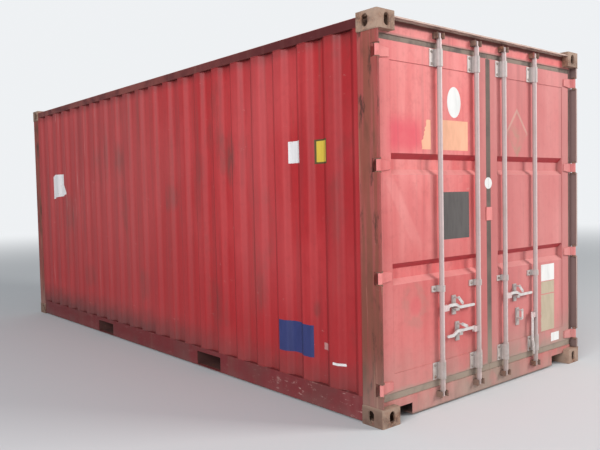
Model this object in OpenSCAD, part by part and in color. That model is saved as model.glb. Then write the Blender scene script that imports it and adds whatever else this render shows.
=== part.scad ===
// Twenty-foot dry-freight shipping container with a pair of side-hung end doors.
// X runs along the length with the doors at +X, Z is up, and the origin lies in the
// middle of the underside. All lengths are in millimetres.

/* [Container] */
// Overall length over the corner fittings
length = 6058; // [5900:1:6300]
// Overall width over the corner fittings
width = 2438; // [2400:1:2500]
// Overall height over the corner fittings
height = 2591; // [2500:1:2900]
// How far posts and rails stand back from the corner fittings' outer faces
setback = 6; // [4:0.5:8]
// Height of the underframe above the ground
ground_gap = 12; // [8:1:16]
// How far the roof sheet's flats lie below the corner fittings' tops
roof_drop = 28; // [24:1:40]

/* [Corner fittings] */
// Length of a corner fitting, along the container
fitting_l = 178; // [172:1:184]
// Width of a corner fitting, across the container
fitting_w = 162; // [156:1:168]
// Height of a corner fitting
fitting_h = 118; // [112:1:122]
// Thickness of a fitting's upright walls
fitting_wall = 16; // [12:1:20]
// Thickness of the plate that holds the twist-lock slot
fitting_plate = 28; // [22:1:32]
// Radius of a fitting's outer upright edge
fitting_round = 12; // [6:1:14]
// Length of the twist-lock slot
slot_l = 124; // [112:1:128]
// Width of the twist-lock slot
slot_w = 63.5; // [56:0.5:66]
// Distance from the end of the container to the slot's centre
slot_from_end = 102.5; // [98:0.5:106]
// Distance from the side of the container to the slot's centre
slot_from_side = 89.5; // [84:0.5:93]
// Height of the lashing holes
lash_h = 79; // [70:1:84]
// Width of the lashing holes
lash_w = 51; // [45:1:58]
// Distance from the end of the container to the side hole's centre
lash_from_end = 101.5; // [92:0.5:108]

/* [Posts] */
// Thickness of the pressed post plates
post_t = 6; // [4.5:0.5:8]
// Width of the door post's turned front edge
post_lip = 16; // [12:1:18]
// Distance from the side of the container to the door opening
jamb_in = 49; // [46:1:54]
// Depth of the open recess in front of the door post's closed box
hinge_recess = 66; // [64:1:80]

/* [Corrugated walls] */
// Thickness of the wall sheets
wall_t = 2; // [1.6:0.1:3]
// Distance from the post's face line to the wall's outer folds
wall_set = 1; // [0.5:0.5:2]
// Depth of the side wall's corrugation
side_depth = 36; // [30:1:37]
// Wanted pitch of the side wall's corrugation
side_pitch = 272; // [250:1:300]
// Width of an outer flat of the side wall
side_crest = 70; // [60:1:76]
// Run of a slope of the side wall
side_slope = 66; // [56:1:70]
// Depth of the front wall's corrugation
front_depth = 44; // [36:1:45]
// Wanted pitch of the front wall's corrugation
front_pitch = 250; // [230:1:280]
// Width of an outer flat of the front wall
front_crest = 110; // [96:1:120]
// Run of a slope of the front wall
front_slope = 18; // [14:1:30]

/* [Roof] */
// Thickness of the roof sheet
roof_t = 2; // [1.6:0.1:3]
// Height of the roof's stamped crowns
roof_rise = 20; // [14:1:21]
// Wanted pitch of the roof's crowns
roof_pitch = 209; // [190:1:230]
// Width of a flat between two crowns
roof_flat = 91; // [80:1:100]
// Run of a crown's side slope
roof_slope = 13.5; // [10:0.5:20]
// Run of a crown's end slope
roof_end_slope = 34; // [20:1:60]
// Distance from the top rail's inner face to the crowns' ends
roof_margin = 4; // [2:1:30]

/* [Rails] */
// Side of the square top rails
top_rail = 60; // [52:1:64]
// Wall of the square top rails
top_rail_t = 3; // [2.5:0.5:5]
// Height of the bottom side rails
bottom_rail_h = 158; // [152:1:164]
// Plate thickness of the bottom rails, sill and header
rail_t = 4.5; // [4:0.5:5.5]
// Width of the bottom side rail's lower flange
low_flange = 30; // [24:1:40]

/* [Floor] */
// Thickness of the floor boards
floor_t = 28; // [25:1:30]
// Height of the cross members
cross_h = 122; // [114:1:124]
// Width of a cross member's upper flange
cross_flange = 45; // [35:1:60]
// Plate thickness of a cross member
cross_t = 4; // [3:0.5:5]
// Distance between cross members
cross_pitch = 300; // [280:1:320]

/* [Fork pockets] */
// Distance from the middle of the container to a pocket's centre
pocket_at = 1025; // [1000:1:1050]
// Width of a pocket
pocket_w = 360; // [345:1:370]
// Height of a pocket
pocket_h = 115; // [108:1:116]
// Length of the strap that closes a pocket's underside at each rail
strap_l = 200; // [150:1:260]
// Thickness of the strap
strap_t = 6; // [4:1:8]

/* [Sill and header] */
// Height of the sill's front face
sill_face = 128; // [120:1:134]
// Length of the cut-out beside each bottom fitting
notch_l = 182; // [140:1:220]
// Height of the cut-out above the sill's lower edge
notch_h = 76; // [50:1:84]
// Height of the header, from its underside to the roof
header_h = 105; // [96:1:112]
// Height of the hem along the header's front lip
hem_h = 13; // [9:1:18]

/* [Doors] */
// How far the door faces lie behind the corner fittings' end faces
door_recess = 53; // [52:0.5:58]
// Thickness of a door's frame
leaf_t = 50; // [45:1:55]
// Gap under a door, above the sill's front face
leaf_lift = 50; // [46:1:56]
// Gap over a door, below the header
leaf_drop = 35; // [26:1:44]
// Gap between a door's outer edge and its post
leaf_side_gap = 20; // [18:1:24]
// Gap between the two doors
leaf_mid_gap = 24; // [20:1:30]
// Width of the door frame's uprights
stile_w = 100; // [80:1:105]
// Height of the door frame's top and bottom members
door_rail_h = 120; // [100:1:150]
// Wall of the door frame's tubes
frame_t = 4; // [3:0.5:5]
// Thickness of the door panel
panel_t = 2; // [1.6:0.1:3]
// How far the panel lies behind the frame's face
panel_set = 4; // [2:0.5:8]
// Depth of the panel's two cross troughs
trough_depth = 38; // [24:1:40]
// Height of a trough at the panel's face
trough_h = 138; // [110:1:170]
// Height of each sloping side of a trough
trough_slope = 36; // [24:1:44]
// Height of the lower trough's centre above the door's lower edge
trough_low = 758; // [720:1:800]
// Height of the upper trough's centre above the door's lower edge
trough_high = 1462; // [1420:1:1500]
// Width of the plate that laps over the joint between the doors
lap_w = 72; // [60:1:110]
// Height of the lap plate
lap_h = 98; // [80:1:160]
// How far the lap plate's middle lies beside the joint, on the right door's side
lap_shift = 0; // [-4:1:10]
// Thickness of the lap plate
lap_t = 6; // [4:1:8]
// Gap between the lap plate and the left door's face
lap_gap = 1; // [0.5:0.5:3]
// Height of the lap plate's middle above the doors' lower edge
lap_at = 1109; // [1000:1:1200]
// Thickness of the weather seal's outer fin
seal_fin = 6; // [4:1:8]
// Thickness of the weather seal's body
seal_body = 20; // [14:1:24]
// Room left between the seal and the frame it closes on
seal_gap = 1; // [0.5:0.25:2]

/* [Hinges] */
// Hinges on each door
hinge_count = 4; // [3:1:5]
// Distance from a door's lower edge to the middle of its lowest hinge
hinge_low_in = 48; // [44:1:70]
// Distance from a door's upper edge to the middle of its highest hinge
hinge_high_in = 79; // [70:1:120]
// Distance from the end of the container to the hinge pin's axis
pin_in = 25; // [24.5:0.5:27]
// Distance from the side of the container to the hinge pin's axis
pin_side = 22; // [21.5:0.5:24]
// Diameter of a hinge pin
pin_d = 18; // [14:1:19]
// Outer diameter of a hinge blade's eye
eye_d = 26; // [24:1:27]
// Height of a hinge blade's eye
eye_h = 72; // [60:1:76]
// Thickness of a hinge blade
blade_t = 10; // [8:0.5:11]
// Distance from the side of the container to the blade's free end
blade_end = 152; // [130:1:160]
// Thickness of a hinge lug
lug_t = 12; // [8:1:16]
// Radial room of a pin in its hole
pin_room = 0.05; // [0.02:0.01:0.1]
// Height of the slot in the post beyond the eye, above and below
slot_room = 6; // [4:1:10]

/* [Lock rods] */
// Diameter of a lock rod
rod_d = 34; // [30:1:35]
// Distance from a rod's axis to the door's face
rod_off = 26; // [25.5:0.5:28]
// Distance from the middle of the doors to the inner rods
rod_inner = 170; // [150:1:185]
// Distance from the middle of the doors to the outer rods
rod_outer = 588; // [570:1:610]
// How far the loose rod is turned out of its locked position
rod_loose = 10; // [8:1:12]
// Height of a cam
cam_h = 34; // [30:1:36]
// Radius of a cam's round hub
cam_hub = 12; // [11:0.5:13]
// Radius of a cam's hooked side
cam_reach = 20.5; // [19:0.5:21]
// Thickness of a keeper's base plate
keeper_base = 3; // [2:0.5:3.5]
// Thickness of a keeper's ears
ear_t = 9; // [7:1:12]
// Distance from a rod's axis to a keeper's ears
ear_in = 29; // [27:1:32]
// Height of a keeper
keeper_h = 40; // [37:1:42]
// Thickness of a rod bracket's plate
bracket_t = 5; // [4:0.5:6]
// Radial room of a rod in its brackets
rod_room = 1; // [0.5:0.25:1.5]
// Height of the top and bottom rod brackets
guard_h = 116; // [90:1:124]
// Height of the middle rod brackets
guide_h = 42; // [30:1:60]
// Height of the middle rod brackets' centre above the door's lower edge
guide_at = 624; // [590:1:650]

/* [Handles] */
// Height of the upper handles' hubs above the door's lower edge
handle_high = 484; // [470:1:500]
// Height of the lower handles' hubs above the door's lower edge
handle_low = 295; // [285:1:305]
// Length of a handle, from the rod's axis
handle_l = 365; // [320:1:375]
// Thickness of a handle
handle_t = 12; // [10:1:13]
// Height of a handle's bar
handle_h = 20; // [16:1:22]
// How far the inner part of a bar lies above its pivot, and the outer part below
handle_bend = 12; // [6:1:14]
// Distance from a rod's axis to its handle's pivot
pivot_out = 50; // [49:0.5:53]
// Diameter of a handle's pivot
pivot_d = 12; // [10:1:14]
// Thickness of a hub's cheeks
cheek_t = 6.5; // [5:0.5:7]
// Distance from a rod's axis to the catch of an upper handle
catch_high = 160; // [150:1:175]
// Distance from a rod's axis to the catch of a lower handle
catch_low = 222; // [205:1:235]
// Distance from a rod's axis to the bend of an upper handle
bend_high = 175; // [170:1:190]
// Distance from a rod's axis to the bend of a lower handle
bend_low = 272; // [266:1:285]
// Height of a hasp's rivet above its handle's pivot
hasp_up = 60; // [57:1:64]
// Length of a hasp, from its rivet to its end
hasp_l = 69; // [60:1:76]

/* [Hidden] */
$fn = 48;

SIDES = [-1, 1];
eps = 1;
half_l = length / 2;
half_w = width / 2;
roof_z = height - roof_drop;
floor_z = ground_gap + bottom_rail_h;
wall_v = setback + wall_set;
wall_top = roof_z - top_rail;
wall_len = length - 2 * fitting_l;
end_w = width - 2 * fitting_w;
wall_in = wall_v + side_depth + wall_t;
sill_top = ground_gap + sill_face;
header_z = roof_z - header_h;
leaf_low = sill_top + leaf_lift;
leaf_top = header_z - leaf_drop;
leaf_h = leaf_top - leaf_low;
opening = half_w - jamb_in;
leaf_out = opening - leaf_side_gap;
leaf_in = leaf_mid_gap / 2;
leaf_back = door_recess + leaf_t;
pin_r = pin_d / 2;
hinge_pitch = (leaf_h - hinge_low_in - hinge_high_in) / (hinge_count - 1);
hinge_heights = [for (i = [0:hinge_count - 1]) leaf_low + hinge_low_in + i * hinge_pitch];
rod_r = rod_d / 2;
rod_in = door_recess - rod_off;
pocket_low = ground_gap + strap_t;
cross_top = floor_z - floor_t;
eye_half = eye_h / 2;
// each rod: its place across the doors, the way its handle points, its hub's height, the
// distances of its catch and its bar's bend, and how far it is turned out of its locked position
RODS = [[-rod_outer, 1, handle_high, catch_high, 0, bend_high],
    [-rod_inner, -1, handle_low, catch_low, 0, bend_low],
    [rod_inner, 1, handle_high, catch_high, 0, bend_high],
    [rod_outer, -1, handle_low, catch_low, rod_loose, bend_low]];

// distance of corrugation starts from a wall's end, and how many folds fit
function fold_count(span, pitch, crest) = floor((span + crest) / pitch);
function fold_edge(span, pitch, crest) =
    (span + crest - fold_count(span, pitch, crest) * pitch) / 2;
// the outer line of a folded sheet: distance along it, and depth
function folds(span, pitch, crest, slope, depth) = let (
        n = fold_count(span, pitch, crest),
        edge = fold_edge(span, pitch, crest),
        valley = pitch - crest - 2 * slope)
    concat([[0, 0]],
        [for (i = [0:n - 1], p = [[0, 0], [slope, depth], [slope + valley, depth], [pitch - crest, 0]])
            [edge + i * pitch + p[0], p[1]]],
        [[span, 0]]);
function flip(points) = [for (i = [len(points) - 1:-1:0]) points[i]];
function deeper(points, t) = [for (p = points) [p[0], p[1] + t]];

// frames of reference: u runs inwards from an end, v inwards from a side
module door_end() {
    translate([half_l, 0, 0])
        mirror([1, 0, 0])
            children();
}
module at_corner(end, side) {
    translate([end * half_l, side * half_w, 0])
        mirror([end > 0 ? 1 : 0, 0, 0])
            mirror([0, side > 0 ? 1 : 0, 0])
                children();
}
module along_y(from, to) {
    translate([0, to, 0])
        rotate([90, 0, 0])
            linear_extrude(to - from)
                children();
}
module along_x(from, to) {
    translate([from, 0, 0])
        rotate([90, 0, 90])
            linear_extrude(to - from)
                children();
}
module sheet(points, t) {
    polygon(concat(points, flip(deeper(points, t))));
}
module box(u0, u1, v0, v1, z0, z1) {
    translate([u0, v0, z0])
        cube([u1 - u0, v1 - v0, z1 - z0]);
}
module rect(a0, a1, b0, b1) {
    translate([a0, b0])
        square([a1 - a0, b1 - b0]);
}
// a slot with round ends, its length along the first axis
module round_slot(l, w) {
    square([l - w, w], center = true);
    for (s = SIDES)
        translate([s * (l - w) / 2, 0])
            circle(d = w);
}

// corner fittings
module fitting_outline() {
    difference() {
        square([fitting_l, fitting_w]);
        square(fitting_round);
    }
    translate([fitting_round, fitting_round])
        circle(fitting_round);
}
module corner_fitting() {
    difference() {
        linear_extrude(fitting_h)
            fitting_outline();
        box(fitting_wall, fitting_l - fitting_wall, fitting_wall, fitting_w - fitting_wall,
            fitting_plate, fitting_h - fitting_wall);
        translate([slot_from_end, slot_from_side, -eps])
            linear_extrude(fitting_plate + 2 * eps)
                round_slot(slot_l, slot_w);
        translate([-eps, slot_from_side, fitting_h / 2])
            rotate([0, 90, 0])
                linear_extrude(fitting_wall + 2 * eps)
                    round_slot(lash_h, lash_w);
        translate([lash_from_end, -eps, fitting_h / 2])
            rotate([0, 90, 90])
                linear_extrude(fitting_wall + 2 * eps)
                    round_slot(lash_h, lash_w);
    }
}
module bottom_corner_fittings() {
    color("sienna")
        for (end = SIDES, side = SIDES)
            at_corner(end, side)
                corner_fitting();
}
module top_corner_fittings(end) {
    color("sienna")
        translate([0, 0, height])
            mirror([0, 0, 1])
                for (side = SIDES)
                    at_corner(end, side)
                        corner_fitting();
}

// door posts: a closed box behind an open recess that holds the hinges
module door_post_outline() {
    rect(setback, fitting_l, setback, setback + post_t);
    rect(setback, setback + post_t, setback, setback + post_lip);
    rect(hinge_recess, hinge_recess + post_t, setback, jamb_in);
    rect(fitting_l - post_t, fitting_l, setback, jamb_in);
    rect(hinge_recess, fitting_l, jamb_in - post_t, jamb_in);
}
module door_post(side) {
    color("saddlebrown")
        at_corner(1, side)
            difference() {
                translate([0, 0, fitting_h])
                    linear_extrude(height - 2 * fitting_h)
                        door_post_outline();
                for (z = hinge_heights)
                    box(0, hinge_recess - 4, 0, setback + post_lip + eps,
                        z - eye_half - slot_room, z + eye_half + slot_room);
            }
}

// front posts: a pressed corner with its flanges turned in to the walls
module front_post_outline() {
    rect(setback, fitting_l, setback, setback + post_t);
    rect(setback, setback + post_t, setback, fitting_w);
    rect(fitting_l - post_t, fitting_l, setback, wall_in);
    rect(setback, front_in, fitting_w - post_t, fitting_w);
}
module front_corner_posts() {
    color("saddlebrown")
        for (side = SIDES)
            at_corner(-1, side)
                translate([0, 0, fitting_h])
                    linear_extrude(height - 2 * fitting_h)
                        front_post_outline();
}

// room taken by the corner fittings at the door end, in the door end's frame
module fitting_room(z0, z1) {
    for (side = SIDES)
        translate([0, side * half_w, 0])
            mirror([0, side > 0 ? 1 : 0, 0])
                box(-eps, fitting_l + eps, -eps, fitting_w, z0, z1);
}
// door header: a box with a rain lip that overhangs the doors
lip_u = setback - 2;
module header_section() {
    difference() {
        rect(door_recess, fitting_l, header_z, roof_z);
        rect(door_recess + rail_t, fitting_l - rail_t, header_z + rail_t, roof_z - rail_t);
    }
    rect(lip_u, door_recess + rail_t, roof_z - rail_t, roof_z);
    rect(lip_u, lip_u + rail_t, roof_z - hem_h, roof_z);
}
module door_header() {
    color("firebrick")
        door_end()
            difference() {
                along_y(-opening, opening)
                    header_section();
                fitting_room(height - fitting_h, height);
            }
}
// door sill: a pressed open section with a sloping ledge and a raised threshold
ledge_rise = 10;
rib_t = 8;
sill_low_in = 50;
notch_over = 0.01;
ledge_u = leaf_back + eps;
sill_low_end = fitting_l - sill_low_in;
module sill_section() {
    polygon([[door_recess, ground_gap], [door_recess, sill_top], [ledge_u, sill_top + ledge_rise],
        [ledge_u, floor_z], [fitting_l, floor_z], [fitting_l, floor_z - rail_t],
        [ledge_u + rail_t, floor_z - rail_t], [ledge_u + rail_t, sill_top + ledge_rise - rail_t],
        [door_recess + rail_t, sill_top - rail_t], [door_recess + rail_t, ground_gap + rail_t],
        [sill_low_end, ground_gap + rail_t], [sill_low_end, ground_gap]]);
}
module door_sill() {
    color("indianred")
        door_end() {
            difference() {
                along_y(-opening, opening)
                    sill_section();
                fitting_room(-eps, fitting_h);
                for (side = SIDES)
                    translate([0, side * (half_w - fitting_w - notch_l / 2), 0])
                        box(0, sill_low_end + eps, -notch_l / 2 - notch_over,
                            notch_l / 2 + notch_over, 0, ground_gap + notch_h);
            }
            for (rod = RODS)
                box(door_recess + eps, ledge_u + rail_t - eps, rod[0] - rib_t / 2, rod[0] + rib_t / 2,
                    ground_gap + eps, sill_top - eps);
        }
}

// cam keepers: two ears on a base plate, one of them with a nose over the cam's hook
cam_low_up = 16;
cam_high_down = 6;
cam_low = ground_gap + sill_face / 2 + cam_low_up;
cam_high = header_z + header_h / 2 - cam_high_down;
nose_in = 14.5;
nose_out = 8;
nose_back = 2;
nose_trim = 3;
ear_over = 2;
module keeper(way) {
    base_u = rod_off - keeper_base;
    translate([0, 0, -keeper_h / 2]) {
        box(base_u, rod_off, -ear_in - ear_t, ear_in + ear_t, 0, keeper_h);
        for (side = SIDES)
            mirror([0, side > 0 ? 1 : 0, 0])
                box(-rod_r - ear_over, base_u + eps, -ear_in - ear_t, -ear_in, 0, keeper_h);
        mirror([0, way < 0 ? 1 : 0, 0])
            translate([0, 0, (keeper_h - cam_h) / 2 + nose_trim])
                box(-nose_out, nose_back, -ear_in - eps, -nose_in, 0, cam_h - 2 * nose_trim);
    }
}
module cam_keepers() {
    color("dimgray")
        door_end()
            for (rod = RODS, z = [cam_low, cam_high])
                translate([rod_in, rod[0], z])
                    keeper(rod[1]);
}

// hinges: lugs and pins on the posts, blades on the doors
lug_heel = 8;
module lug_outline() {
    difference() {
        union() {
            rect(setback + post_t, pin_in + eye_d / 2 + lug_heel, setback + post_t, pin_side);
            rect(setback + post_t, pin_in, setback + post_t, pin_side + eye_d / 2);
            intersection() {
                translate([pin_in, pin_side])
                    circle(d = eye_d);
                rect(setback + post_t, hinge_recess, setback + post_t, jamb_in);
            }
        }
        translate([pin_in, pin_side])
            circle(pin_r + pin_room);
    }
}
lug_room = 1;
lug_from = eye_half + lug_room;
module hinge_lugs() {
    color("saddlebrown")
        for (side = SIDES)
            at_corner(1, side)
                for (z = hinge_heights, s = [-lug_from - lug_t, lug_from])
                    translate([0, 0, z + s])
                        linear_extrude(lug_t)
                            lug_outline();
}
module hinge_pins() {
    stand_out = 4;
    reach = lug_from + lug_t + stand_out;
    color("dimgray")
        for (side = SIDES)
            at_corner(1, side)
                for (z = hinge_heights)
                    translate([pin_in, pin_side, z - reach])
                        cylinder(h = 2 * reach, r = pin_r);
}
module blade_plan() {
    outer = door_recess - blade_t;
    eye_r = eye_d / 2;
    inner_bend = 18;
    outer_bend = 25;
    difference() {
        union() {
            translate([pin_in, pin_side])
                circle(eye_r);
            polygon([[pin_in + eye_r - 2, pin_side], [door_recess, pin_side + inner_bend],
                [door_recess, blade_end], [outer, blade_end], [outer, pin_side + outer_bend],
                [pin_in + 3, pin_side + eye_r - 1]]);
        }
        translate([pin_in, pin_side])
            circle(pin_r + pin_room);
    }
}
// the blade seen from the front narrows towards its free end
module blade_front() {
    taper = 10;
    taper_from = jamb_in + 20;
    polygon([[0, -eye_half], [taper_from, -eye_half], [blade_end + eps, -eye_half + taper],
        [blade_end + eps, eye_half - taper], [taper_from, eye_half], [0, eye_half]]);
}
module hinge_blades(side) {
    color("indianred")
        at_corner(1, side)
            for (z = hinge_heights)
                translate([0, 0, z])
                    intersection() {
                        translate([0, 0, -eye_half])
                            linear_extrude(eye_h)
                                blade_plan();
                        along_x(0, door_recess + eps)
                            blade_front();
                    }
}

// front end: top rail and sill between the fittings
module front_top_rail() {
    color("firebrick")
        translate([-half_l, 0, 0])
            along_y(-end_w / 2, end_w / 2)
                difference() {
                    rect(setback, setback + top_rail, wall_top, roof_z);
                    rect(setback + top_rail_t, setback + top_rail - top_rail_t,
                        wall_top + top_rail_t, roof_z - top_rail_t);
                }
}
module channel(u0, u_top, u_low, z0, z1, t) {
    rect(u0, u0 + t, z0, z1);
    rect(u0, u_top, z1 - t, z1);
    rect(u0, u_low, z0, z0 + t);
}
ledge_past = 1;
front_in = wall_v + front_depth + wall_t;
module front_sill() {
    color("firebrick")
        translate([-half_l, 0, 0])
            along_y(-end_w / 2, end_w / 2)
                channel(setback, front_in + ledge_past, setback + low_flange, ground_gap, floor_z, rail_t);
}

// side rails
module side_mirror() {
    for (side = SIDES)
        translate([0, side * half_w, 0])
            mirror([0, side > 0 ? 1 : 0, 0])
                children();
}
module top_side_rails() {
    color("firebrick")
        side_mirror()
            along_x(-wall_len / 2, wall_len / 2)
                difference() {
                    rect(setback, setback + top_rail, wall_top, roof_z);
                    rect(setback + top_rail_t, setback + top_rail - top_rail_t,
                        wall_top + top_rail_t, roof_z - top_rail_t);
                }
}
module bottom_side_rails() {
    color("firebrick")
        side_mirror()
            difference() {
                along_x(-wall_len / 2, wall_len / 2)
                    channel(setback, wall_in + ledge_past, setback + low_flange, ground_gap, floor_z, rail_t);
                for (s = SIDES)
                    box(s * pocket_at - pocket_w / 2, s * pocket_at + pocket_w / 2,
                        0, setback + rail_t + eps, pocket_low, pocket_low + pocket_h);
            }
}

// corrugated walls
module side_wall(side) {
    color("indianred")
        translate([0, side * half_w, 0])
            mirror([0, side > 0 ? 1 : 0, 0])
                translate([-wall_len / 2, wall_v, floor_z])
                    linear_extrude(wall_top - floor_z)
                        sheet(folds(wall_len, side_pitch, side_crest, side_slope, side_depth), wall_t);
}
module front_wall() {
    color("indianred")
        translate([-half_l + wall_v, 0, floor_z])
            mirror([1, -1, 0])
                translate([-end_w / 2, 0, 0])
                    linear_extrude(wall_top - floor_z)
                        sheet(folds(end_w, front_pitch, front_crest, front_slope, front_depth), wall_t);
}

// roof: flat sheet with stamped crowns that close at both ends
crown_half = half_w - setback - top_rail - roof_margin;
module crowns(lift, low) {
    crown_start = fold_edge(wall_len, roof_pitch, roof_flat);
    crown_count = fold_count(wall_len, roof_pitch, roof_flat);
    crown_w = roof_pitch - roof_flat;
    intersection() {
        for (i = [0:crown_count - 1])
            translate([-wall_len / 2 + crown_start + i * roof_pitch, 0, 0])
                along_y(-crown_half - eps, crown_half + eps)
                    polygon([[0, low], [0, lift], [roof_slope, lift + roof_rise],
                        [crown_w - roof_slope, lift + roof_rise], [crown_w, lift], [crown_w, low]]);
        along_x(-wall_len / 2, wall_len / 2)
            polygon([[-crown_half, low], [-crown_half, lift],
                [-crown_half + roof_end_slope, lift + roof_rise],
                [crown_half - roof_end_slope, lift + roof_rise], [crown_half, lift], [crown_half, low]]);
    }
}
module roof() {
    color("firebrick")
        translate([0, 0, roof_z])
            difference() {
                union() {
                    box(-wall_len / 2, wall_len / 2, -half_w + setback, half_w - setback, 0, roof_t);
                    crowns(roof_t, 0);
                }
                crowns(0, -eps);
            }
}
// flat plates that close the roof between the corner fittings at both ends
module roof_end_plates() {
    color("firebrick")
        translate([0, 0, roof_z])
            for (end = [[-half_l + setback, -wall_len / 2], [wall_len / 2, half_l - door_recess]])
                box(end[0], end[1], -end_w / 2, end_w / 2, 0, roof_t);
}

// floor and underframe
floor_room = 2;
module floor() {
    side_y = half_w - wall_in - floor_room;
    color("peru")
        box(-half_l + front_in + floor_room, half_l - fitting_l, -side_y, side_y, cross_top, floor_z);
}
cross_end = 60;
cross_clear = 10;
flange_less = 5;
cross_count = floor((wall_len / 2 - cross_end) / cross_pitch);
cross_places = [for (i = [-cross_count:cross_count])
    if (abs(abs(i * cross_pitch) - pocket_at) > pocket_w / 2 + cross_flange + cross_clear)
        i * cross_pitch];
module cross_section(t) {
    rect(0, t, cross_top - cross_h, cross_top);
    rect(0, cross_flange, cross_top - t, cross_top);
    rect(0, cross_flange - flange_less, cross_top - cross_h, cross_top - cross_h + t);
}
module cross_members() {
    color("firebrick")
        for (x = cross_places)
            translate([x, 0, 0])
                along_y(-half_w + setback + rail_t, half_w - setback - rail_t)
                    cross_section(cross_t);
}
module fork_pockets() {
    side_y = half_w - setback - rail_t;
    strap_half = pocket_w / 2 + cross_flange - flange_less;
    color("firebrick")
        for (s = SIDES)
            translate([s * pocket_at, 0, 0]) {
                for (end = SIDES)
                    mirror([end < 0 ? 1 : 0, 0, 0])
                        translate([pocket_w / 2, 0, 0])
                            along_y(-side_y, side_y) {
                                rect(0, cross_t, pocket_low, cross_top);
                                rect(0, cross_flange, cross_top - cross_t, cross_top);
                                rect(0, cross_flange - flange_less, pocket_low, pocket_low + cross_t);
                            }
                box(-pocket_w / 2 - eps, pocket_w / 2 + eps, -side_y, side_y,
                    pocket_low + pocket_h, cross_top);
                for (side = SIDES)
                    translate([0, side * (side_y - strap_l / 2 - low_flange + rail_t), 0])
                        box(-strap_half, strap_half,
                            -strap_l / 2, strap_l / 2, ground_gap, pocket_low);
            }
}

// doors: a tube frame with a stamped panel let into it
module leaf_frame(side) {
    color("indianred")
        door_end()
            mirror([0, side < 0 ? 1 : 0, 0])
                difference() {
                    box(door_recess, leaf_back, leaf_in, leaf_out, leaf_low, leaf_top);
                    box(door_recess - eps, leaf_back + eps, leaf_in + stile_w, leaf_out - stile_w,
                        leaf_low + door_rail_h, leaf_top - door_rail_h);
                    for (y = [leaf_in, leaf_out - stile_w])
                        box(door_recess + frame_t, leaf_back - frame_t, y + frame_t,
                            y + stile_w - frame_t, leaf_low + frame_t, leaf_top - frame_t);
                    for (z = [leaf_low, leaf_top - door_rail_h])
                        box(door_recess + frame_t, leaf_back - frame_t, leaf_in + stile_w,
                            leaf_out - stile_w, z + frame_t, z + door_rail_h - frame_t);
                }
}
function trough_line(at) = [[at - trough_h / 2, 0], [at - trough_h / 2 + trough_slope, trough_depth],
    [at + trough_h / 2 - trough_slope, trough_depth], [at + trough_h / 2, 0]];
module leaf_panel(side) {
    line = concat([[door_rail_h, 0]], trough_line(trough_low), trough_line(trough_high),
        [[leaf_h - door_rail_h, 0]]);
    color("lightcoral")
        door_end()
            mirror([0, side < 0 ? 1 : 0, 0])
                translate([door_recess + panel_set, 0, leaf_low])
                    along_y(leaf_in + stile_w, leaf_out - stile_w)
                        mirror([1, -1])
                            sheet(line, panel_t);
}
// weather seal round a door: a thick body at the door's edge and a thin fin that closes the gap
fin_set = 5;
fin_bite = 0.5;
module seal_ring(u0, u1, out, low, top, in) {
    difference() {
        box(u0, u1, leaf_in - in, leaf_out + out, leaf_low - low, leaf_top + top);
        box(u0 - eps, u1 + eps, leaf_in, leaf_out, leaf_low, leaf_top);
    }
}
module leaf_seal(side) {
    fin_u = door_recess + fin_set;
    ledge_at = (fin_u + seal_fin - door_recess) / (ledge_u - door_recess) * ledge_rise;
    color("darkolivegreen")
        door_end()
            mirror([0, side < 0 ? 1 : 0, 0]) {
                seal_ring(fin_u, fin_u + seal_fin, leaf_side_gap - seal_gap,
                    leaf_lift - ledge_at - seal_gap, leaf_drop - seal_gap, leaf_in - seal_gap);
                seal_ring(fin_u + seal_fin - fin_bite, fin_u + seal_fin + seal_body, leaf_side_gap / 2,
                    leaf_lift / 2, leaf_drop / 2, leaf_in / 2);
            }
}

// brackets that hold a rod to its door, with a flange on the rod's left
guard_in = 5;
shave = 0.1;
flange_w = 52;
collar_gap = 0.3;
cheek_room = 0.5;
module rod_bracket(z0, h, back, flange_back) {
    inner = rod_r + rod_room;
    outer = inner + bracket_t;
    translate([0, 0, z0])
        linear_extrude(h) {
            difference() {
                union() {
                    circle(outer);
                    rect(0, rod_off + back, -outer + shave, outer - shave);
                    rect(rod_off - bracket_t, rod_off + flange_back, -outer - flange_w, 0);
                }
                circle(inner);
                rect(0, outer + back + eps, -inner + shave, inner - shave);
            }
        }
}
// whether a bracket's flange ends on the door frame's inner upright
function flange_on_stile(y) =
    abs(y - rod_r - rod_room - bracket_t - flange_w) < leaf_in + stile_w;
module rod_brackets(rods) {
    color("silver")
        door_end()
            for (i = rods)
                translate([rod_in, RODS[i][0], 0]) {
                    rod_bracket(leaf_low + guard_in, guard_h, 0, 0);
                    rod_bracket(leaf_low + guide_at - guide_h / 2, guide_h, panel_set,
                        flange_on_stile(RODS[i][0]) ? 0 : panel_set);
                    rod_bracket(leaf_top - guard_in - guard_h, guard_h, 0, 0);
                }
}

// catches: a plate with a shelf for the handle, and the rivet of the hasp
catch_half = 20;
shelf_t = 8;
shelf_in = 3;
shelf_out = 13;
shelf_hem = 10;
shelf_hem_t = 4;
plate_t = 6;
plate_bite = 5;
plate_down = 60;
plate_up = 14;
rest_gap = 0.3;
rivet_r = 6;
rivet_base = 17;
rivet_out = 26;
rivet_neck = 10;
rivet_neck_r = 4.5;
rivet_head = 3;
bend_run = 25;
bend_stretch = 1.12;
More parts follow.
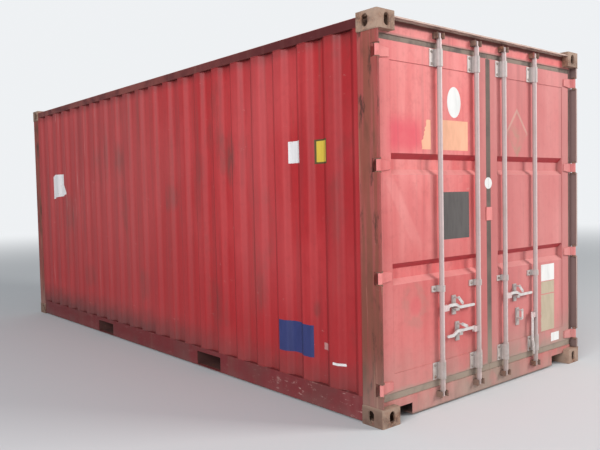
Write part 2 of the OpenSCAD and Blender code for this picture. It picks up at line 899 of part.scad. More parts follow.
// height of a bar's middle line at a distance from its rod's axis
function bar_mid(at, bend) = max(-1, min(1, (bend - at) / bend_run)) * handle_bend;
function bar_low(at, bend) = bar_mid(at, bend) - handle_h / 2 * bend_stretch;
module catch(i) {
    at = RODS[i][3];
    bend = RODS[i][5];
    half = catch_half - shelf_in;
    shelf_z = min(bar_low(at - half, bend), bar_low(at + half, bend)) - rest_gap;
    box(rod_off - plate_t, rod_off + panel_set, -catch_half, catch_half, -plate_down,
        hasp_up + plate_up);
    box(-shelf_out, rod_off - plate_bite, -half, half, shelf_z - shelf_t, shelf_z);
    box(-shelf_out, -shelf_out + shelf_hem_t, -half, half, shelf_z - shelf_t - shelf_hem, shelf_z);
    translate([0, 0, hasp_up])
        rotate([0, 90, 0]) {
            translate([0, 0, -rivet_base])
                cylinder(h = rivet_base + rod_off - plate_bite, r = rivet_r);
            translate([0, 0, -rivet_out])
                cylinder(h = rivet_neck, r = rivet_neck_r);
            translate([0, 0, -rivet_out])
                cylinder(h = rivet_head, r = rivet_r + 2);
        }
}
module at_catch(i) {
    rod = RODS[i];
    translate([rod_in, rod[0] + rod[1] * rod[3], leaf_low + rod[2]])
        children();
}
module handle_catches(rods) {
    color("silver")
        door_end()
            for (i = rods)
                at_catch(i)
                    catch(i);
}
// hasp: a tongue that hangs from the rivet in front of the handle
HASP_TURN = [45, 68, 45, 0];
hasp_out = 22.5;
hasp_t = 4;
hasp_r = 11;
pin_clear = 0.06;
padlock_r = 5;
padlock_in = 12;
module hasp(i) {
    color("gainsboro")
        door_end()
            at_catch(i)
                translate([-hasp_out, 0, hasp_up])
                    rotate([HASP_TURN[i], 0, 0])
                        rotate([0, 90, 0])
                            linear_extrude(hasp_t)
                                difference() {
                                    union() {
                                        circle(hasp_r);
                                        translate([hasp_l - hasp_r, 0])
                                            circle(hasp_r);
                                        rect(0, hasp_l - hasp_r, -hasp_r + shave, hasp_r - shave);
                                    }
                                    circle(rivet_neck_r + pin_clear);
                                    translate([hasp_l - padlock_in, 0])
                                        circle(padlock_r);
                                }
}

// lock rods: a tube with a hooked cam at each end and a forked hub for its handle
hook_from = 3.5;
hook_side = 8;
module cam_outline() {
    circle(cam_hub);
    intersection() {
        circle(cam_reach);
        polygon([[hook_from, 0], [hook_from, -cam_reach], [cam_reach, -cam_reach],
            [cam_reach, hook_side], [0, cam_hub], [0, 0]]);
    }
}
cam_gap = 2;
core_less = 0.5;
collar_h = 12;
collar_t = 5;
cheek_past = 14;
cheek_half = 20;
rivet_past = 1.5;
head_over = 6;
module lock_rod(i) {
    rod = RODS[i];
    neck = cam_h / 2 + cam_gap;
    hub_z = leaf_low + rod[2];
    cheek_out = handle_t / 2 + cheek_room + cheek_t;
    pivot_half = cheek_out + rivet_past;
    color("silver")
        door_end()
            translate([rod_in, rod[0], 0])
                mirror([0, rod[1] < 0 ? 1 : 0, 0])
                    rotate([0, 0, rod[4]]) {
                        translate([0, 0, cam_low + neck])
                            cylinder(h = cam_high - cam_low - 2 * neck, r = rod_r);
                        for (z = [cam_low, cam_high])
                            translate([0, 0, z - cam_h / 2])
                                linear_extrude(cam_h)
                                    cam_outline();
                        translate([0, 0, cam_low])
                            cylinder(h = cam_high - cam_low, r = cam_hub - core_less);
                        translate([0, 0, leaf_low + guard_in + guard_h + collar_gap])
                            cylinder(h = collar_h, r = rod_r + collar_t);
                        for (u = [-cheek_out, handle_t / 2 + cheek_room])
                            box(u, u + cheek_t, 0, pivot_out + cheek_past, hub_z - cheek_half,
                                hub_z + cheek_half);
                        translate([0, pivot_out, hub_z])
                            rotate([0, 90, 0]) {
                                translate([0, 0, -pivot_half])
                                    cylinder(h = 2 * pivot_half, d = pivot_d);
                                for (u = [-pivot_half, cheek_out])
                                    translate([0, 0, u])
                                        cylinder(h = pivot_half - cheek_out, d = pivot_d + head_over);
                            }
                    }
}
// handle: a flat bar with an eye at its pivot; the loose one hangs straight down
handle_eye_r = 14;
eye_side = 12;
eye_run = 38;
run_more = 2;
module handle_outline(bend) {
    tip_r = handle_h / 2 - 1;
    tip = handle_l - pivot_out - tip_r;
    at = bend - pivot_out;
    half = handle_h / 2;
    up = handle_bend;
    run = bend_run;
    difference() {
        union() {
            circle(handle_eye_r);
            polygon([[0, -eye_side], [eye_run + run_more, up - half],
                [at - run - run_more, up - half], [at + run - run_more, -half - up],
                [tip, shave - tip_r - up], [tip, tip_r - shave - up],
                [at + run + run_more, half - up], [at - run + run_more, up + half],
                [eye_run - run_more, up + half], [-2 * run_more, eye_side]]);
            translate([tip, -up])
                circle(tip_r);
        }
        circle(pivot_d / 2 + pin_clear);
    }
}
module handle(i) {
    rod = RODS[i];
    hang = rod[4] > 0 ? -90 : 0;
    color("gainsboro")
        door_end()
            translate([rod_in, rod[0], leaf_low + rod[2]])
                mirror([0, rod[1] < 0 ? 1 : 0, 0])
                    rotate([0, 0, rod[4]])
                        translate([0, pivot_out, 0])
                            rotate([hang, 0, 0])
                                rotate([90, 0, 90])
                                    translate([0, 0, -handle_t / 2])
                                        linear_extrude(handle_t)
                                            handle_outline(rod[5]);
}
// plate on the right door that laps over the joint between the doors
lap_foot = 4;
module lap_plate() {
    free_edge = lap_w / 2 - lap_shift;
    z0 = leaf_low + lap_at - lap_h / 2;
    color("indianred")
        door_end() {
            box(door_recess - lap_gap - lap_t, door_recess - lap_gap, -free_edge, lap_w - free_edge,
                z0, z0 + lap_h);
            box(door_recess - lap_gap - eps, door_recess, leaf_in + lap_foot, lap_w - free_edge,
                z0, z0 + lap_h);
        }
}

bottom_corner_fittings();
top_corner_fittings(1);  // door_top_fittings
top_corner_fittings(-1);  // front_top_fittings
door_post(-1);  // left_door_post
door_post(1);  // right_door_post
front_corner_posts();
door_header();
door_sill();
cam_keepers();
hinge_lugs();
hinge_pins();
front_top_rail();
front_sill();
top_side_rails();
bottom_side_rails();
side_wall(-1);  // left_side_wall
side_wall(1);  // right_side_wall
front_wall();
roof();
roof_end_plates();
floor();
cross_members();
fork_pockets();
leaf_frame(-1);  // left_door_frame
leaf_panel(-1);  // left_door_panel
leaf_seal(-1);  // left_door_seal
hinge_blades(-1);  // left_hinge_blades
rod_brackets([0, 1]);  // left_rod_brackets
handle_catches([0, 1]);  // left_handle_catches
leaf_frame(1);  // right_door_frame
leaf_panel(1);  // right_door_panel
leaf_seal(1);  // right_door_seal
hinge_blades(1);  // right_hinge_blades
rod_brackets([2, 3]);  // right_rod_brackets
handle_catches([2, 3]);  // right_handle_catches
lap_plate();
lock_rod(0);  // lock_rod_1
lock_rod(1);  // lock_rod_2
lock_rod(2);  // lock_rod_3
lock_rod(3);  // lock_rod_4
handle(0);  // handle_1
handle(1);  // handle_2
handle(2);  // handle_3
handle(3);  // handle_4
hasp(0);  // hasp_1
hasp(1);  // hasp_2
hasp(2);  // hasp_3
hasp(3);  // hasp_4
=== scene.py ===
# %% [markdown]
# # A weathered shipping container
#
# A twenty-foot freight container is a welded steel box: cast corners, pressed posts and rails,
# folded sheet walls and a pair of doors held by four lock rods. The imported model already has
# those solids at their real size. This lesson gives them their looks: faded paint, rust, dust
# and zinc, and the small things a workshop adds, such as bolts, weld beads and labels.

import math
import random

import bmesh
import bpy
from mathutils import Matrix, Vector


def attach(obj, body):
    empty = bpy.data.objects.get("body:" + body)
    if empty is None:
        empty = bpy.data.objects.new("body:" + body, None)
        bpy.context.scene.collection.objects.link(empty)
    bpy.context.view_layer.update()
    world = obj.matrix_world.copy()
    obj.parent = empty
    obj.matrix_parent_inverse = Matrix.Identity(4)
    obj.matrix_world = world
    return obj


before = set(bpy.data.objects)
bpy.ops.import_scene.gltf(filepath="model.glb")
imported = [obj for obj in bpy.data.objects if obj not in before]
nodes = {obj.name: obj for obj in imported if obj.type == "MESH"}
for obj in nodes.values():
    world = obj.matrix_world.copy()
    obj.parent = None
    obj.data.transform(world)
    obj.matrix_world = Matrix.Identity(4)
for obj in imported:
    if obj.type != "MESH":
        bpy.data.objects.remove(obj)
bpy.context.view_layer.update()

# %% [markdown]
# ## Camera and light
#
# The camera stands where the photographer stood, beside the open end of the yard and a little
# above waist height. Its place and angles come from matching the container's corners to the
# photograph. The light is a plain studio of two big soft lamps and an even pale sky. Both lamps
# stand off the door end. One is on the doors' right and throws the lock rods' shadows to the left.
# The other is beside the long side and brightens the slopes of the folds that face the doors.

# %% Camera
camera_data = bpy.data.cameras.new("camera")
camera_data.sensor_width = 36.0
camera_data.lens = 40.27
camera = bpy.data.objects.new("camera", camera_data)
camera.location = (5.84579, -4.22885, 1.48285)
camera.rotation_euler = [math.radians(a) for a in (87.240, 1.245, 49.826)]
bpy.context.collection.objects.link(camera)
scene = bpy.context.scene
scene.camera = camera
scene.view_settings.view_transform = "Standard"


# %% Lamps
def lamp(name, place, target, size, watts, tint=(1.0, 1.0, 1.0)):
    """A square soft lamp at a place, facing a target."""
    data = bpy.data.lights.new(name, "AREA")
    data.shape = "SQUARE"
    data.size = size
    data.energy = watts
    data.color = tint
    obj = bpy.data.objects.new(name, data)
    obj.location = place
    obj.rotation_euler = (Vector(target) - Vector(place)).to_track_quat("-Z", "Y").to_euler()
    bpy.context.collection.objects.link(obj)


lamp("key_lamp", (11.5, 7.5, 7.5), (3.0, 0.0, 1.2), 5.0, 1330.0, (1.0, 0.985, 0.96))
lamp("side_lamp", (7.0, -14.0, 6.5), (0.0, -1.2, 1.2), 8.0, 1800.0, (0.97, 0.985, 1.0))
print("lamps:", len(bpy.data.lights))

# %% [markdown]
# ## Floor and sky
#
# The floor is one large pale square that catches the shadow. The sky lights everything evenly,
# and the camera sees it as plain off-white: a Light Path node tells the camera's own rays apart
# from the rays that carry light, so the background can be pale without brightening the steel. The
# floor uses the same trick to fade into the sky with distance, as a studio's curved backdrop does.

# %% Floor
BACKDROP = (0.86, 0.88, 0.90, 1.0)
floor_half = 60.0
floor_mesh = bmesh.new()
bmesh.ops.create_grid(floor_mesh, x_segments=1, y_segments=1, size=floor_half)
floor_data = bpy.data.meshes.new("studio_floor")
floor_mesh.to_mesh(floor_data)
floor_mesh.free()
studio_floor = bpy.data.objects.new("studio_floor", floor_data)
bpy.context.collection.objects.link(studio_floor)
floor_finish = bpy.data.materials.new("studio_floor")
floor_finish.use_nodes = True
floor_shader = floor_finish.node_tree.nodes["Principled BSDF"]
floor_shader.inputs["Base Color"].default_value = (0.62, 0.63, 0.64, 1.0)
floor_shader.inputs["Roughness"].default_value = 0.85
floor_tree = floor_finish.node_tree
from_middle = floor_tree.nodes.new("ShaderNodeVectorMath")
from_middle.operation = "LENGTH"
distance_fade = floor_tree.nodes.new("ShaderNodeMapRange")
distance_fade.interpolation_type = "SMOOTHSTEP"
distance_fade.inputs["From Min"].default_value = 6.0
distance_fade.inputs["From Max"].default_value = 24.0
seen_fade = floor_tree.nodes.new("ShaderNodeMath")
seen_fade.operation = "MULTIPLY"
far_floor = floor_tree.nodes.new("ShaderNodeEmission")
far_floor.inputs["Color"].default_value = BACKDROP
floor_mix = floor_tree.nodes.new("ShaderNodeMixShader")
floor_place = floor_tree.nodes.new("ShaderNodeTexCoord").outputs["Object"]
floor_seen = floor_tree.nodes.new("ShaderNodeLightPath").outputs["Is Camera Ray"]
for source, target in (
    (floor_place, from_middle.inputs[0]),
    (from_middle.outputs["Value"], distance_fade.inputs["Value"]),
    (distance_fade.outputs[0], seen_fade.inputs[0]),
    (floor_seen, seen_fade.inputs[1]),
    (seen_fade.outputs[0], floor_mix.inputs["Fac"]),
    (floor_shader.outputs[0], floor_mix.inputs[1]),
    (far_floor.outputs[0], floor_mix.inputs[2]),
    (floor_mix.outputs[0], floor_tree.nodes["Material Output"].inputs["Surface"]),
):
    floor_tree.links.new(source, target)
floor_data.materials.append(floor_finish)

# %% Sky
world = bpy.data.worlds.new("sky")
scene.world = world
world.use_nodes = True
sky = world.node_tree
light_path = sky.nodes.new("ShaderNodeLightPath")
sky_light = sky.nodes["Background"]
sky_light.inputs["Color"].default_value = (0.90, 0.95, 1.0, 1.0)
sky_light.inputs["Strength"].default_value = 0.42
sky_seen = sky.nodes.new("ShaderNodeBackground")
sky_seen.inputs["Color"].default_value = BACKDROP
sky_mix = sky.nodes.new("ShaderNodeMixShader")
sky.links.new(light_path.outputs["Is Camera Ray"], sky_mix.inputs["Fac"])
sky.links.new(sky_light.outputs[0], sky_mix.inputs[1])
sky.links.new(sky_seen.outputs[0], sky_mix.inputs[2])
sky.links.new(sky_mix.outputs[0], sky.nodes["World Output"].inputs["Surface"])
print("floor and sky ready")

# %% [markdown]
# ## Writing shader maths as plain expressions
#
# Rust and fading are patterns worked out at each point of a surface. Wiring Math nodes by hand
# hides the idea, so a small class wraps a socket and lets `+`, `-` and `*` add the nodes. One
# method adds every other kind of node: its settings are given first, then its sockets.


# %% Socket maths
class Value:
    """A number or vector that a material works out at each point of a surface."""

    def __init__(self, graph, socket):
        self.graph = graph
        self.socket = socket

    def math(self, operation, first, second):
        return self.graph.node("ShaderNodeMath", {"operation": operation}, {0: first, 1: second})

    def __add__(self, other):
        return self.math("ADD", self, other)

    def __radd__(self, other):
        return self.math("ADD", other, self)

    def __sub__(self, other):
        return self.math("SUBTRACT", self, other)

    def __rsub__(self, other):
        return self.math("SUBTRACT", other, self)

    def __mul__(self, other):
        return self.math("MULTIPLY", self, other)

    def __rmul__(self, other):
        return self.math("MULTIPLY", other, self)

    def clamp(self):
        return self.graph.node("ShaderNodeClamp", {}, {0: self})

    def absolute(self):
        return self.graph.node("ShaderNodeMath", {"operation": "ABSOLUTE"}, {0: self})


class Graph:
    """The node tree of one material, ending in a Principled shader."""

    def __init__(self, name):
        self.material = bpy.data.materials.new(name)
        self.material.use_nodes = True
        self.tree = self.material.node_tree
        self.shader = self.tree.nodes["Principled BSDF"]
        self.place = self.node("ShaderNodeTexCoord", {}, {}, "Object")
        parts = self.node("ShaderNodeSeparateXYZ", {}, {0: self.place})
        outputs = parts.socket.node.outputs
        self.x, self.y, self.z = (Value(self, out) for out in outputs)

    def node(self, kind, settings, sockets, output=0):
        made = self.tree.nodes.new(kind)
        for key, value in settings.items():
            setattr(made, key, value)
        for key, value in sockets.items():
            self.feed(made.inputs[key], value)
        return Value(self, made.outputs[output])

    def feed(self, socket, value):
        if isinstance(value, Value):
            self.tree.links.new(value.socket, socket)
        elif socket.type == "RGBA":
            socket.default_value = (*value, 1.0)
        else:
            socket.default_value = value

    def noise(self, scale, detail=3.0, stretch=(1.0, 1.0, 1.0), shift=0.0, rough=0.55):
        """Cloudy noise from 0 to 1, squeezed along each axis by stretch."""
        scaled = self.node(
            "ShaderNodeVectorMath",
            {"operation": "MULTIPLY_ADD"},
            {0: self.place, 1: stretch, 2: (shift, shift, shift)},
        )
        sockets = {"Vector": scaled, "Scale": scale, "Detail": detail, "Roughness": rough}
        return self.node("ShaderNodeTexNoise", {}, sockets)

    def smooth(self, value, low, high):
        """0 below low, 1 above high, with a soft step between."""
        sockets = {"Value": value, "From Min": low, "From Max": high}
        return self.node("ShaderNodeMapRange", {"interpolation_type": "SMOOTHSTEP"}, sockets)

    def band(self, value, low, high, soft):
        """1 between low and high, fading to 0 over soft on either side."""
        above = self.smooth(value, low - soft, low + soft)
        below = self.smooth(value, high - soft, high + soft)
        return above * (1.0 - below)

    def mix(self, factor, first, second):
        """Colour first where factor is 0, second where it is 1."""
        sockets = {0: factor, 6: first, 7: second}
        return self.node("ShaderNodeMix", {"data_type": "RGBA"}, sockets, 2)

    def facing(self, axis):
        """How far a flat face looks along an axis (0, 1 or 2 for X, Y or Z), from -1 to 1."""
        flat = self.node("ShaderNodeNewGeometry", {}, {}, "True Normal")
        return self.node("ShaderNodeSeparateXYZ", {}, {0: flat}, axis)

    def soft_edges(self, radius):
        """The surface normal as if every sharp edge were rounded by radius."""
        return self.node("ShaderNodeBevel", {"samples": 4}, {"Radius": radius})

    def edge_mask(self, rounded, low, high):
        """1 along sharp edges, 0 on flat faces."""
        flat = self.node("ShaderNodeNewGeometry", {}, {}, "True Normal")
        same = self.node(
            "ShaderNodeVectorMath", {"operation": "DOT_PRODUCT"}, {0: rounded, 1: flat}, "Value"
        )
        return self.smooth(1.0 - same, low, high)

    def bump(self, height, strength, distance, normal=None):
        sockets = {"Height": height, "Strength": strength, "Distance": distance}
        if normal is not None:
            sockets["Normal"] = normal
        return self.node("ShaderNodeBump", {}, sockets)

    def finish(self, color, roughness, normal=None, metallic=None):
        self.feed(self.shader.inputs["Base Color"], color)
        self.feed(self.shader.inputs["Roughness"], roughness)
        if normal is not None:
            self.feed(self.shader.inputs["Normal"], normal)
        if metallic is not None:
            self.feed(self.shader.inputs["Metallic"], metallic)
        return self.material


print("shader helpers ready")

# %% [markdown]
# ## Rust
#
# Rust on paint starts at edges and chips and then runs down with the rain. So one function gives
# three things: the colour of rust, which is never one brown; a mask of scabs, which is noise
# pushed through a narrow step; and runs, which are noise stretched many times along Z.


# %% Rust
RUST_DARK = (0.052, 0.021, 0.014)
RUST_MID = (0.165, 0.066, 0.036)
RUST_PALE = (0.33, 0.165, 0.095)


def rust_color(g, shift=0.0):
    """Mottled rust from nearly black to dusty orange."""
    coarse = g.noise(9.0, 4.0, shift=shift)
    fine = g.noise(70.0, 3.0, shift=shift)
    dark_to_mid = g.mix(g.smooth(coarse, 0.35, 0.62), RUST_DARK, RUST_MID)
    return g.mix(g.smooth(fine + 0.35 * coarse, 0.62, 0.9), dark_to_mid, RUST_PALE)


def scabs(g, scale, amount, shift=0.0, stretch=(1.0, 1.0, 0.6)):
    """Patches where paint is gone; amount 0 is none, 1 is nearly everywhere."""
    cloud = g.noise(scale, 6.0, stretch, shift, 0.62)
    start = 0.80 - 0.42 * amount
    return g.smooth(cloud, start, start + 0.07)


def runs(g, scale, amount, shift=0.0):
    """Stains that rain has drawn down a wall."""
    streak = g.noise(scale, 4.0, (1.0, 1.0, 0.045), shift)
    body = g.noise(1.3, 3.0, shift=shift + 7.0)
    start = 0.74 - 0.30 * amount
    return g.smooth(streak, start, start + 0.16) * g.smooth(body, 0.35, 0.65)


print("rust helpers ready")

# %% [markdown]
# ## Folds that look pressed
#
# A sheet that is pressed into waves has soft bends, while the solid has sharp folds. A Bump node
# can make up the difference. It is fed, in metres, with the height that a rounded wave has above
# the sharp one: along a slope that rises from 0 to 1, a smooth step minus the straight line.

# %% Fold lines of the long wall
CREST_Y = -1.212
VALLEY = 0.036
FIRST_FOLD = -2.821
PITCH = 0.272
SLOPE = 0.066
CREST = 0.070
VALLEY_END = PITCH - CREST - SLOPE
FOLD_COUNT = 21
fold_lines = []
for i in range(FOLD_COUNT):
    start = FIRST_FOLD + i * PITCH
    fold_lines += [start, start + SLOPE, start + VALLEY_END, start + PITCH - CREST]


def round_folds(g, normal):
    """The normal of a long wall as if its folds were soft bends."""
    at = g.node("ShaderNodeMath", {"operation": "FLOORED_MODULO"}, {0: g.x - FIRST_FOLD, 1: PITCH})
    down = (at * (1.0 / SLOPE)).clamp()
    up = ((at - VALLEY_END) * (1.0 / SLOPE)).clamp()
    depth = down - up
    outward = g.node("ShaderNodeMath", {"operation": "SIGN"}, {0: g.facing(1) * g.y})
    height = (depth - g.smooth(depth, 0.0, 1.0)) * VALLEY * outward
    return g.bump(height, 1.0, 1.0, normal)


print("fold lines:", len(fold_lines))

# %% [markdown]
# ## Faded paint
#
# One recipe paints the whole container: fresh red under a chalky fade, dull stains where water
# ran, pale rubs, dust near the ground, and rust on top of it all. What differs from part to part
# is how much of each there is, so those amounts are the function's arguments.


# %% Paint recipe
def painted(
    name, fresh, faded, fade=0.5, stain=0.3, scab=0.1, run=0.2, edge=0.5, dust=0.4, dust_top=0.55,
    shift=0.0, rough=0.5, round_edges=0.003, shine=0.3, extra=None, folded=False,
):
    """Old enamel on steel; extra(g, color) paints marks under the rust, folded rounds the folds."""
    g = Graph(name)
    g.shader.inputs["Specular IOR Level"].default_value = shine
    rounded = g.soft_edges(round_edges)
    # the enamel: big soft clouds of fading, plus thin upright streaks of it
    cloud = g.noise(0.9, 3.0, shift=shift)
    streak = g.noise(9.0, 3.0, (1.0, 1.0, 0.06), shift + 3.0)
    worn = g.smooth(cloud * 0.6 + streak * 0.4, 0.62 - 0.35 * fade, 0.80 - 0.25 * fade)
    color = g.mix(worn, fresh, faded)
    mottle = g.noise(22.0, 5.0, shift=shift + 5.0)
    color = g.mix(g.smooth(mottle, 0.45, 0.75) * 0.22, color, tuple(c * 0.62 for c in fresh))
    if extra:
        color = extra(g, color)
    # water stains: darker, browner, long
    wet = g.noise(16.0, 5.0, (1.0, 1.0, 0.03), shift + 11.0)
    patch = g.noise(1.7, 4.0, (1.0, 1.0, 0.5), shift + 13.0)
    stained = g.smooth(wet, 0.50, 0.72) * g.smooth(patch, 0.42, 0.66) * stain
    color = g.mix(stained, color, (0.16, 0.055, 0.045))
    # pale scuffs
    scuff = g.noise(30.0, 6.0, (0.35, 0.35, 1.0), shift + 17.0, 0.7)
    color = g.mix(g.smooth(scuff, 0.66, 0.74) * 0.35, color, (0.62, 0.36, 0.33))
    # dust that has splashed up from the ground
    low = 1.0 - g.smooth(g.z + 0.25 * g.noise(3.0, 4.0, shift=shift + 19.0), 0.12, dust_top + 0.12)
    color = g.mix(low * dust, color, (0.36, 0.29, 0.25))
    # rust: scabs, runs and bare edges
    flaking = g.noise(12.0, 5.0, shift=shift)
    edge_zone = g.edge_mask(rounded, 0.03, 0.30) * g.smooth(flaking, 0.36, 0.60)
    spots = scabs(g, 5.5, scab, shift + 23.0) + scabs(g, 26.0, scab * 0.75, shift + 29.0)
    stains = runs(g, 10.0, run, shift + 31.0) * 0.75
    bare = (edge_zone * edge + spots).clamp()
    color = g.mix(stains * 0.8, color, RUST_MID)
    color = g.mix(bare, color, rust_color(g, shift))
    dents = g.noise(2.3, 2.0, shift=shift + 37.0)
    skin = g.noise(160.0, 3.0, shift=shift)
    height = dents * 2.2 + skin * 0.03 + bare * 0.12 + mottle * 0.04
    roughness = rough + worn * 0.16 + bare * 0.32
    normal = round_folds(g, rounded) if folded else rounded
    return g.finish(color, roughness.clamp(), g.bump(height, 0.35, 0.004, normal))


print("paint recipe ready")

# %% [markdown]
# ## Finishes of the solid parts
#
# The photographed container isn't one red. The long side is a deep, dull red. The doors have
# bleached to a salmon pink. The posts have lost so much paint that they read as brown. Zinc gear
# is pale, and its slight pink is a painted reflection of the red around it. The cast corners are
# brown rust.

# %% Marks under the rust
def greyed(g, color):
    """The right door has gone greyer than the left one."""
    return g.mix(g.smooth(g.y, -0.15, 0.30) * 0.50, color, (0.50, 0.225, 0.215))


def door_marks(g, color):
    """Traces of old paint on the doors: a fresher patch, a rubbed diamond, a round ghost."""
    color = greyed(g, color)
    # the two stiles that meet in the middle and the outermost one are grimier
    stiles = (1.0 - g.smooth(g.y.absolute(), 0.09, 0.14)) + g.smooth(g.y, 0.98, 1.04)
    color = g.mix(stiles * 0.45, color, (0.42, 0.175, 0.165))
    # painted shade: faces that look down are given a deeper, darker red
    upward = g.facing(2)
    color = g.mix(g.smooth(0.0 - upward, 0.25, 0.60) * 0.85, color, (0.40, 0.018, 0.030))
    # faces that look up are painted paler, partly chalk and partly a painted highlight
    color = g.mix(g.smooth(upward, 0.25, 0.60) * 0.45, color, (0.66, 0.30, 0.28))
    bare = color
    wobble = (g.noise(3.0, 4.0, shift=58.0) - 0.5) * 0.12
    across = g.y + wobble
    height = g.z + wobble
    fresh = g.band(across, -1.07, -0.76, 0.07) * g.band(height, 1.73, 1.94, 0.07)
    shade = g.smooth(g.noise(5.0, 4.0, shift=59.0), 0.15, 0.60) * 0.35 + 0.50
    color = g.mix(fresh * shade, color, (0.70, 0.070, 0.105))
    # a diamond is where |y - y0| / 0.15 + |z - z0| / 0.19 stays under 1
    along = (g.y - 0.387).absolute() * 6.6 + (g.z - 1.90).absolute() * 5.3
    rubbed = g.smooth(g.noise(13.0, 5.0, shift=60.0), 0.40, 0.62)
    rim = g.band(along, 0.84, 1.0, 0.05) * g.smooth(g.z, 1.86, 1.94)
    color = g.mix(rim * 0.55, color, (0.58, 0.40, 0.32))
    inner = (1.0 - g.smooth(along, 0.80, 1.10)) * (1.0 - g.smooth(g.z, 1.86, 1.98) * 0.75)
    color = g.mix(inner * (rubbed * 0.55 + 0.15), color, (0.40, 0.25, 0.18))
    # a ghost of a round sign, low on the left door: a brownish ring with a red middle
    sign = (g.y + 0.828) * (g.y + 0.828) + (g.z - 0.72) * (g.z - 0.72) * 0.8
    ring = g.smooth(sign, 0.0012, 0.0060) * (1.0 - g.smooth(sign, 0.010, 0.030))
    color = g.mix(ring * (rubbed * 0.35 + 0.10), color, (0.42, 0.235, 0.19))
    color = g.mix((1.0 - g.smooth(sign, 0.0003, 0.0050)) * 0.45, color, (0.70, 0.085, 0.110))
    # a bent streak across the left panel: paler before the bend, redder behind it
    bend = g.y - 0.62 * (1.58 - g.z) + 1.030
    zone = g.band(g.z, 1.14, 1.56, 0.06)
    color = g.mix(g.band(bend, -0.10, 0.0, 0.012) * zone * 0.30, color, (0.82, 0.32, 0.30))
    color = g.mix(g.band(bend, 0.0, 0.16, 0.030) * zone * 0.22, color, (0.56, 0.085, 0.095))
    # the left door is duller from the middle down
    duller = (1.0 - g.smooth(g.z, 0.95, 1.70)) * (1.0 - g.smooth(g.y, -0.2, 0.1))
    color = g.mix(duller * 0.34, color, (0.470, 0.115, 0.108))
    # splashed dirt, more of it on the right
    splash = g.smooth(g.noise(5.0, 6.0, (1.0, 1.0, 0.7), 63.0), 0.35, 0.62)
    low = 1.0 - g.smooth(g.z + 0.25 * g.noise(4.0, 4.0), 0.30, 0.66)
    rightward = g.smooth(g.y, -0.4, 0.5) * 0.45 + 0.25
    color = g.mix(splash * low * rightward, color, (0.34, 0.25, 0.20))
    hem = 1.0 - g.smooth(g.z + 0.05 * g.noise(7.0, 4.0), 0.205, 0.245)
    color = g.mix(hem * 0.70, color, (0.36, 0.27, 0.21))
    # only the outer faces carry the marks
    return g.mix(g.smooth(g.x, 2.9702, 2.9716), bare, color)


# where the wall is worst smudged: x, z, half width, half height, strength
SMUDGES = (
    (1.40, 1.76, 0.085, 0.22, 0.85), (-1.40, 0.60, 0.160, 0.12, 0.75),
    (-0.14, 0.62, 0.110, 0.15, 0.75), (1.16, 0.50, 0.080, 0.16, 0.55),
    (-0.90, 1.92, 0.024, 0.30, 0.60), (0.42, 1.46, 0.120, 0.12, 0.50),
    (2.40, 0.68, 0.026, 0.06, 0.75), (-2.60, 1.30, 0.050, 0.55, 0.40),
    (0.95, 1.72, 0.060, 0.14, 0.45),
)


def side_marks(g, color):
    """Grime smudges, and pale upright scratches near the front end."""
    smudge = g.smooth(g.noise(2.2, 6.0, (1.0, 1.0, 0.45), 64.0, 0.6), 0.54, 0.72)
    color = g.mix(smudge * 0.72, color, (0.100, 0.040, 0.032))
    grain = g.smooth(g.noise(11.0, 6.0, (1.0, 1.0, 0.35), 67.0, 0.65), 0.36, 0.62)
    for x, z, half_x, half_z, strength in SMUDGES:
        across = (g.x - x) * (1.0 / half_x)
        up = (g.z - z) * (1.0 / half_z)
        blob = 1.0 - g.smooth(across * across + up * up, 0.15, 1.60)
        color = g.mix(blob * (grain * 0.65 + 0.35) * strength, color, (0.110, 0.042, 0.035))
    brushed = g.smooth(g.noise(9.0, 6.0, (1.0, 1.0, 0.06), 66.0, 0.6), 0.50, 0.68)
    color = g.mix(brushed * 0.45, color, (0.215, 0.024, 0.026))
    marks = g.noise(60.0, 2.0, (1.0, 1.0, 0.02), 68.0)
    near_front = 1.0 - g.smooth(g.x, -2.5, 0.5)
    color = g.mix(g.smooth(marks, 0.66, 0.72) * near_front * 0.5, color, (0.60, 0.34, 0.31))
    # duller towards the front end, more bleached towards the doors
    drift = g.x + (g.noise(1.1, 4.0, (1.0, 1.0, 0.6), 65.0) - 0.5) * 1.6
    far = 1.0 - g.smooth(drift, -0.6, 1.6)
    color = g.mix(far * 0.45, color, (0.330, 0.082, 0.080))
    bleached = g.band(drift, 1.45, 2.15, 0.35) * g.smooth(g.z, 0.30, 0.90)
    color = g.mix(bleached * 0.32, color, (0.480, 0.090, 0.094))
    color = g.mix(g.smooth(drift, 2.30, 2.90) * 0.34, color, (0.240, 0.014, 0.018))
    lower = 1.0 - g.smooth(g.z, 0.30, 1.40)
    color = g.mix(lower * 0.40, color, (0.300, 0.012, 0.016))
    foot = 1.0 - g.smooth(g.z + 0.16 * g.noise(9.0, 4.0), 0.24, 0.52)
    color = g.mix(foot * (far * 0.40 + 0.45), color, (0.100, 0.026, 0.026))
    # painted shade: the wall is darkened just under the top rail
    rail_shade = g.smooth(g.z + 0.06 * g.noise(14.0, 4.0, (1.0, 1.0, 0.3)), 2.44, 2.53)
    return g.mix(rail_shade * 0.45, color, (0.10, 0.020, 0.018))


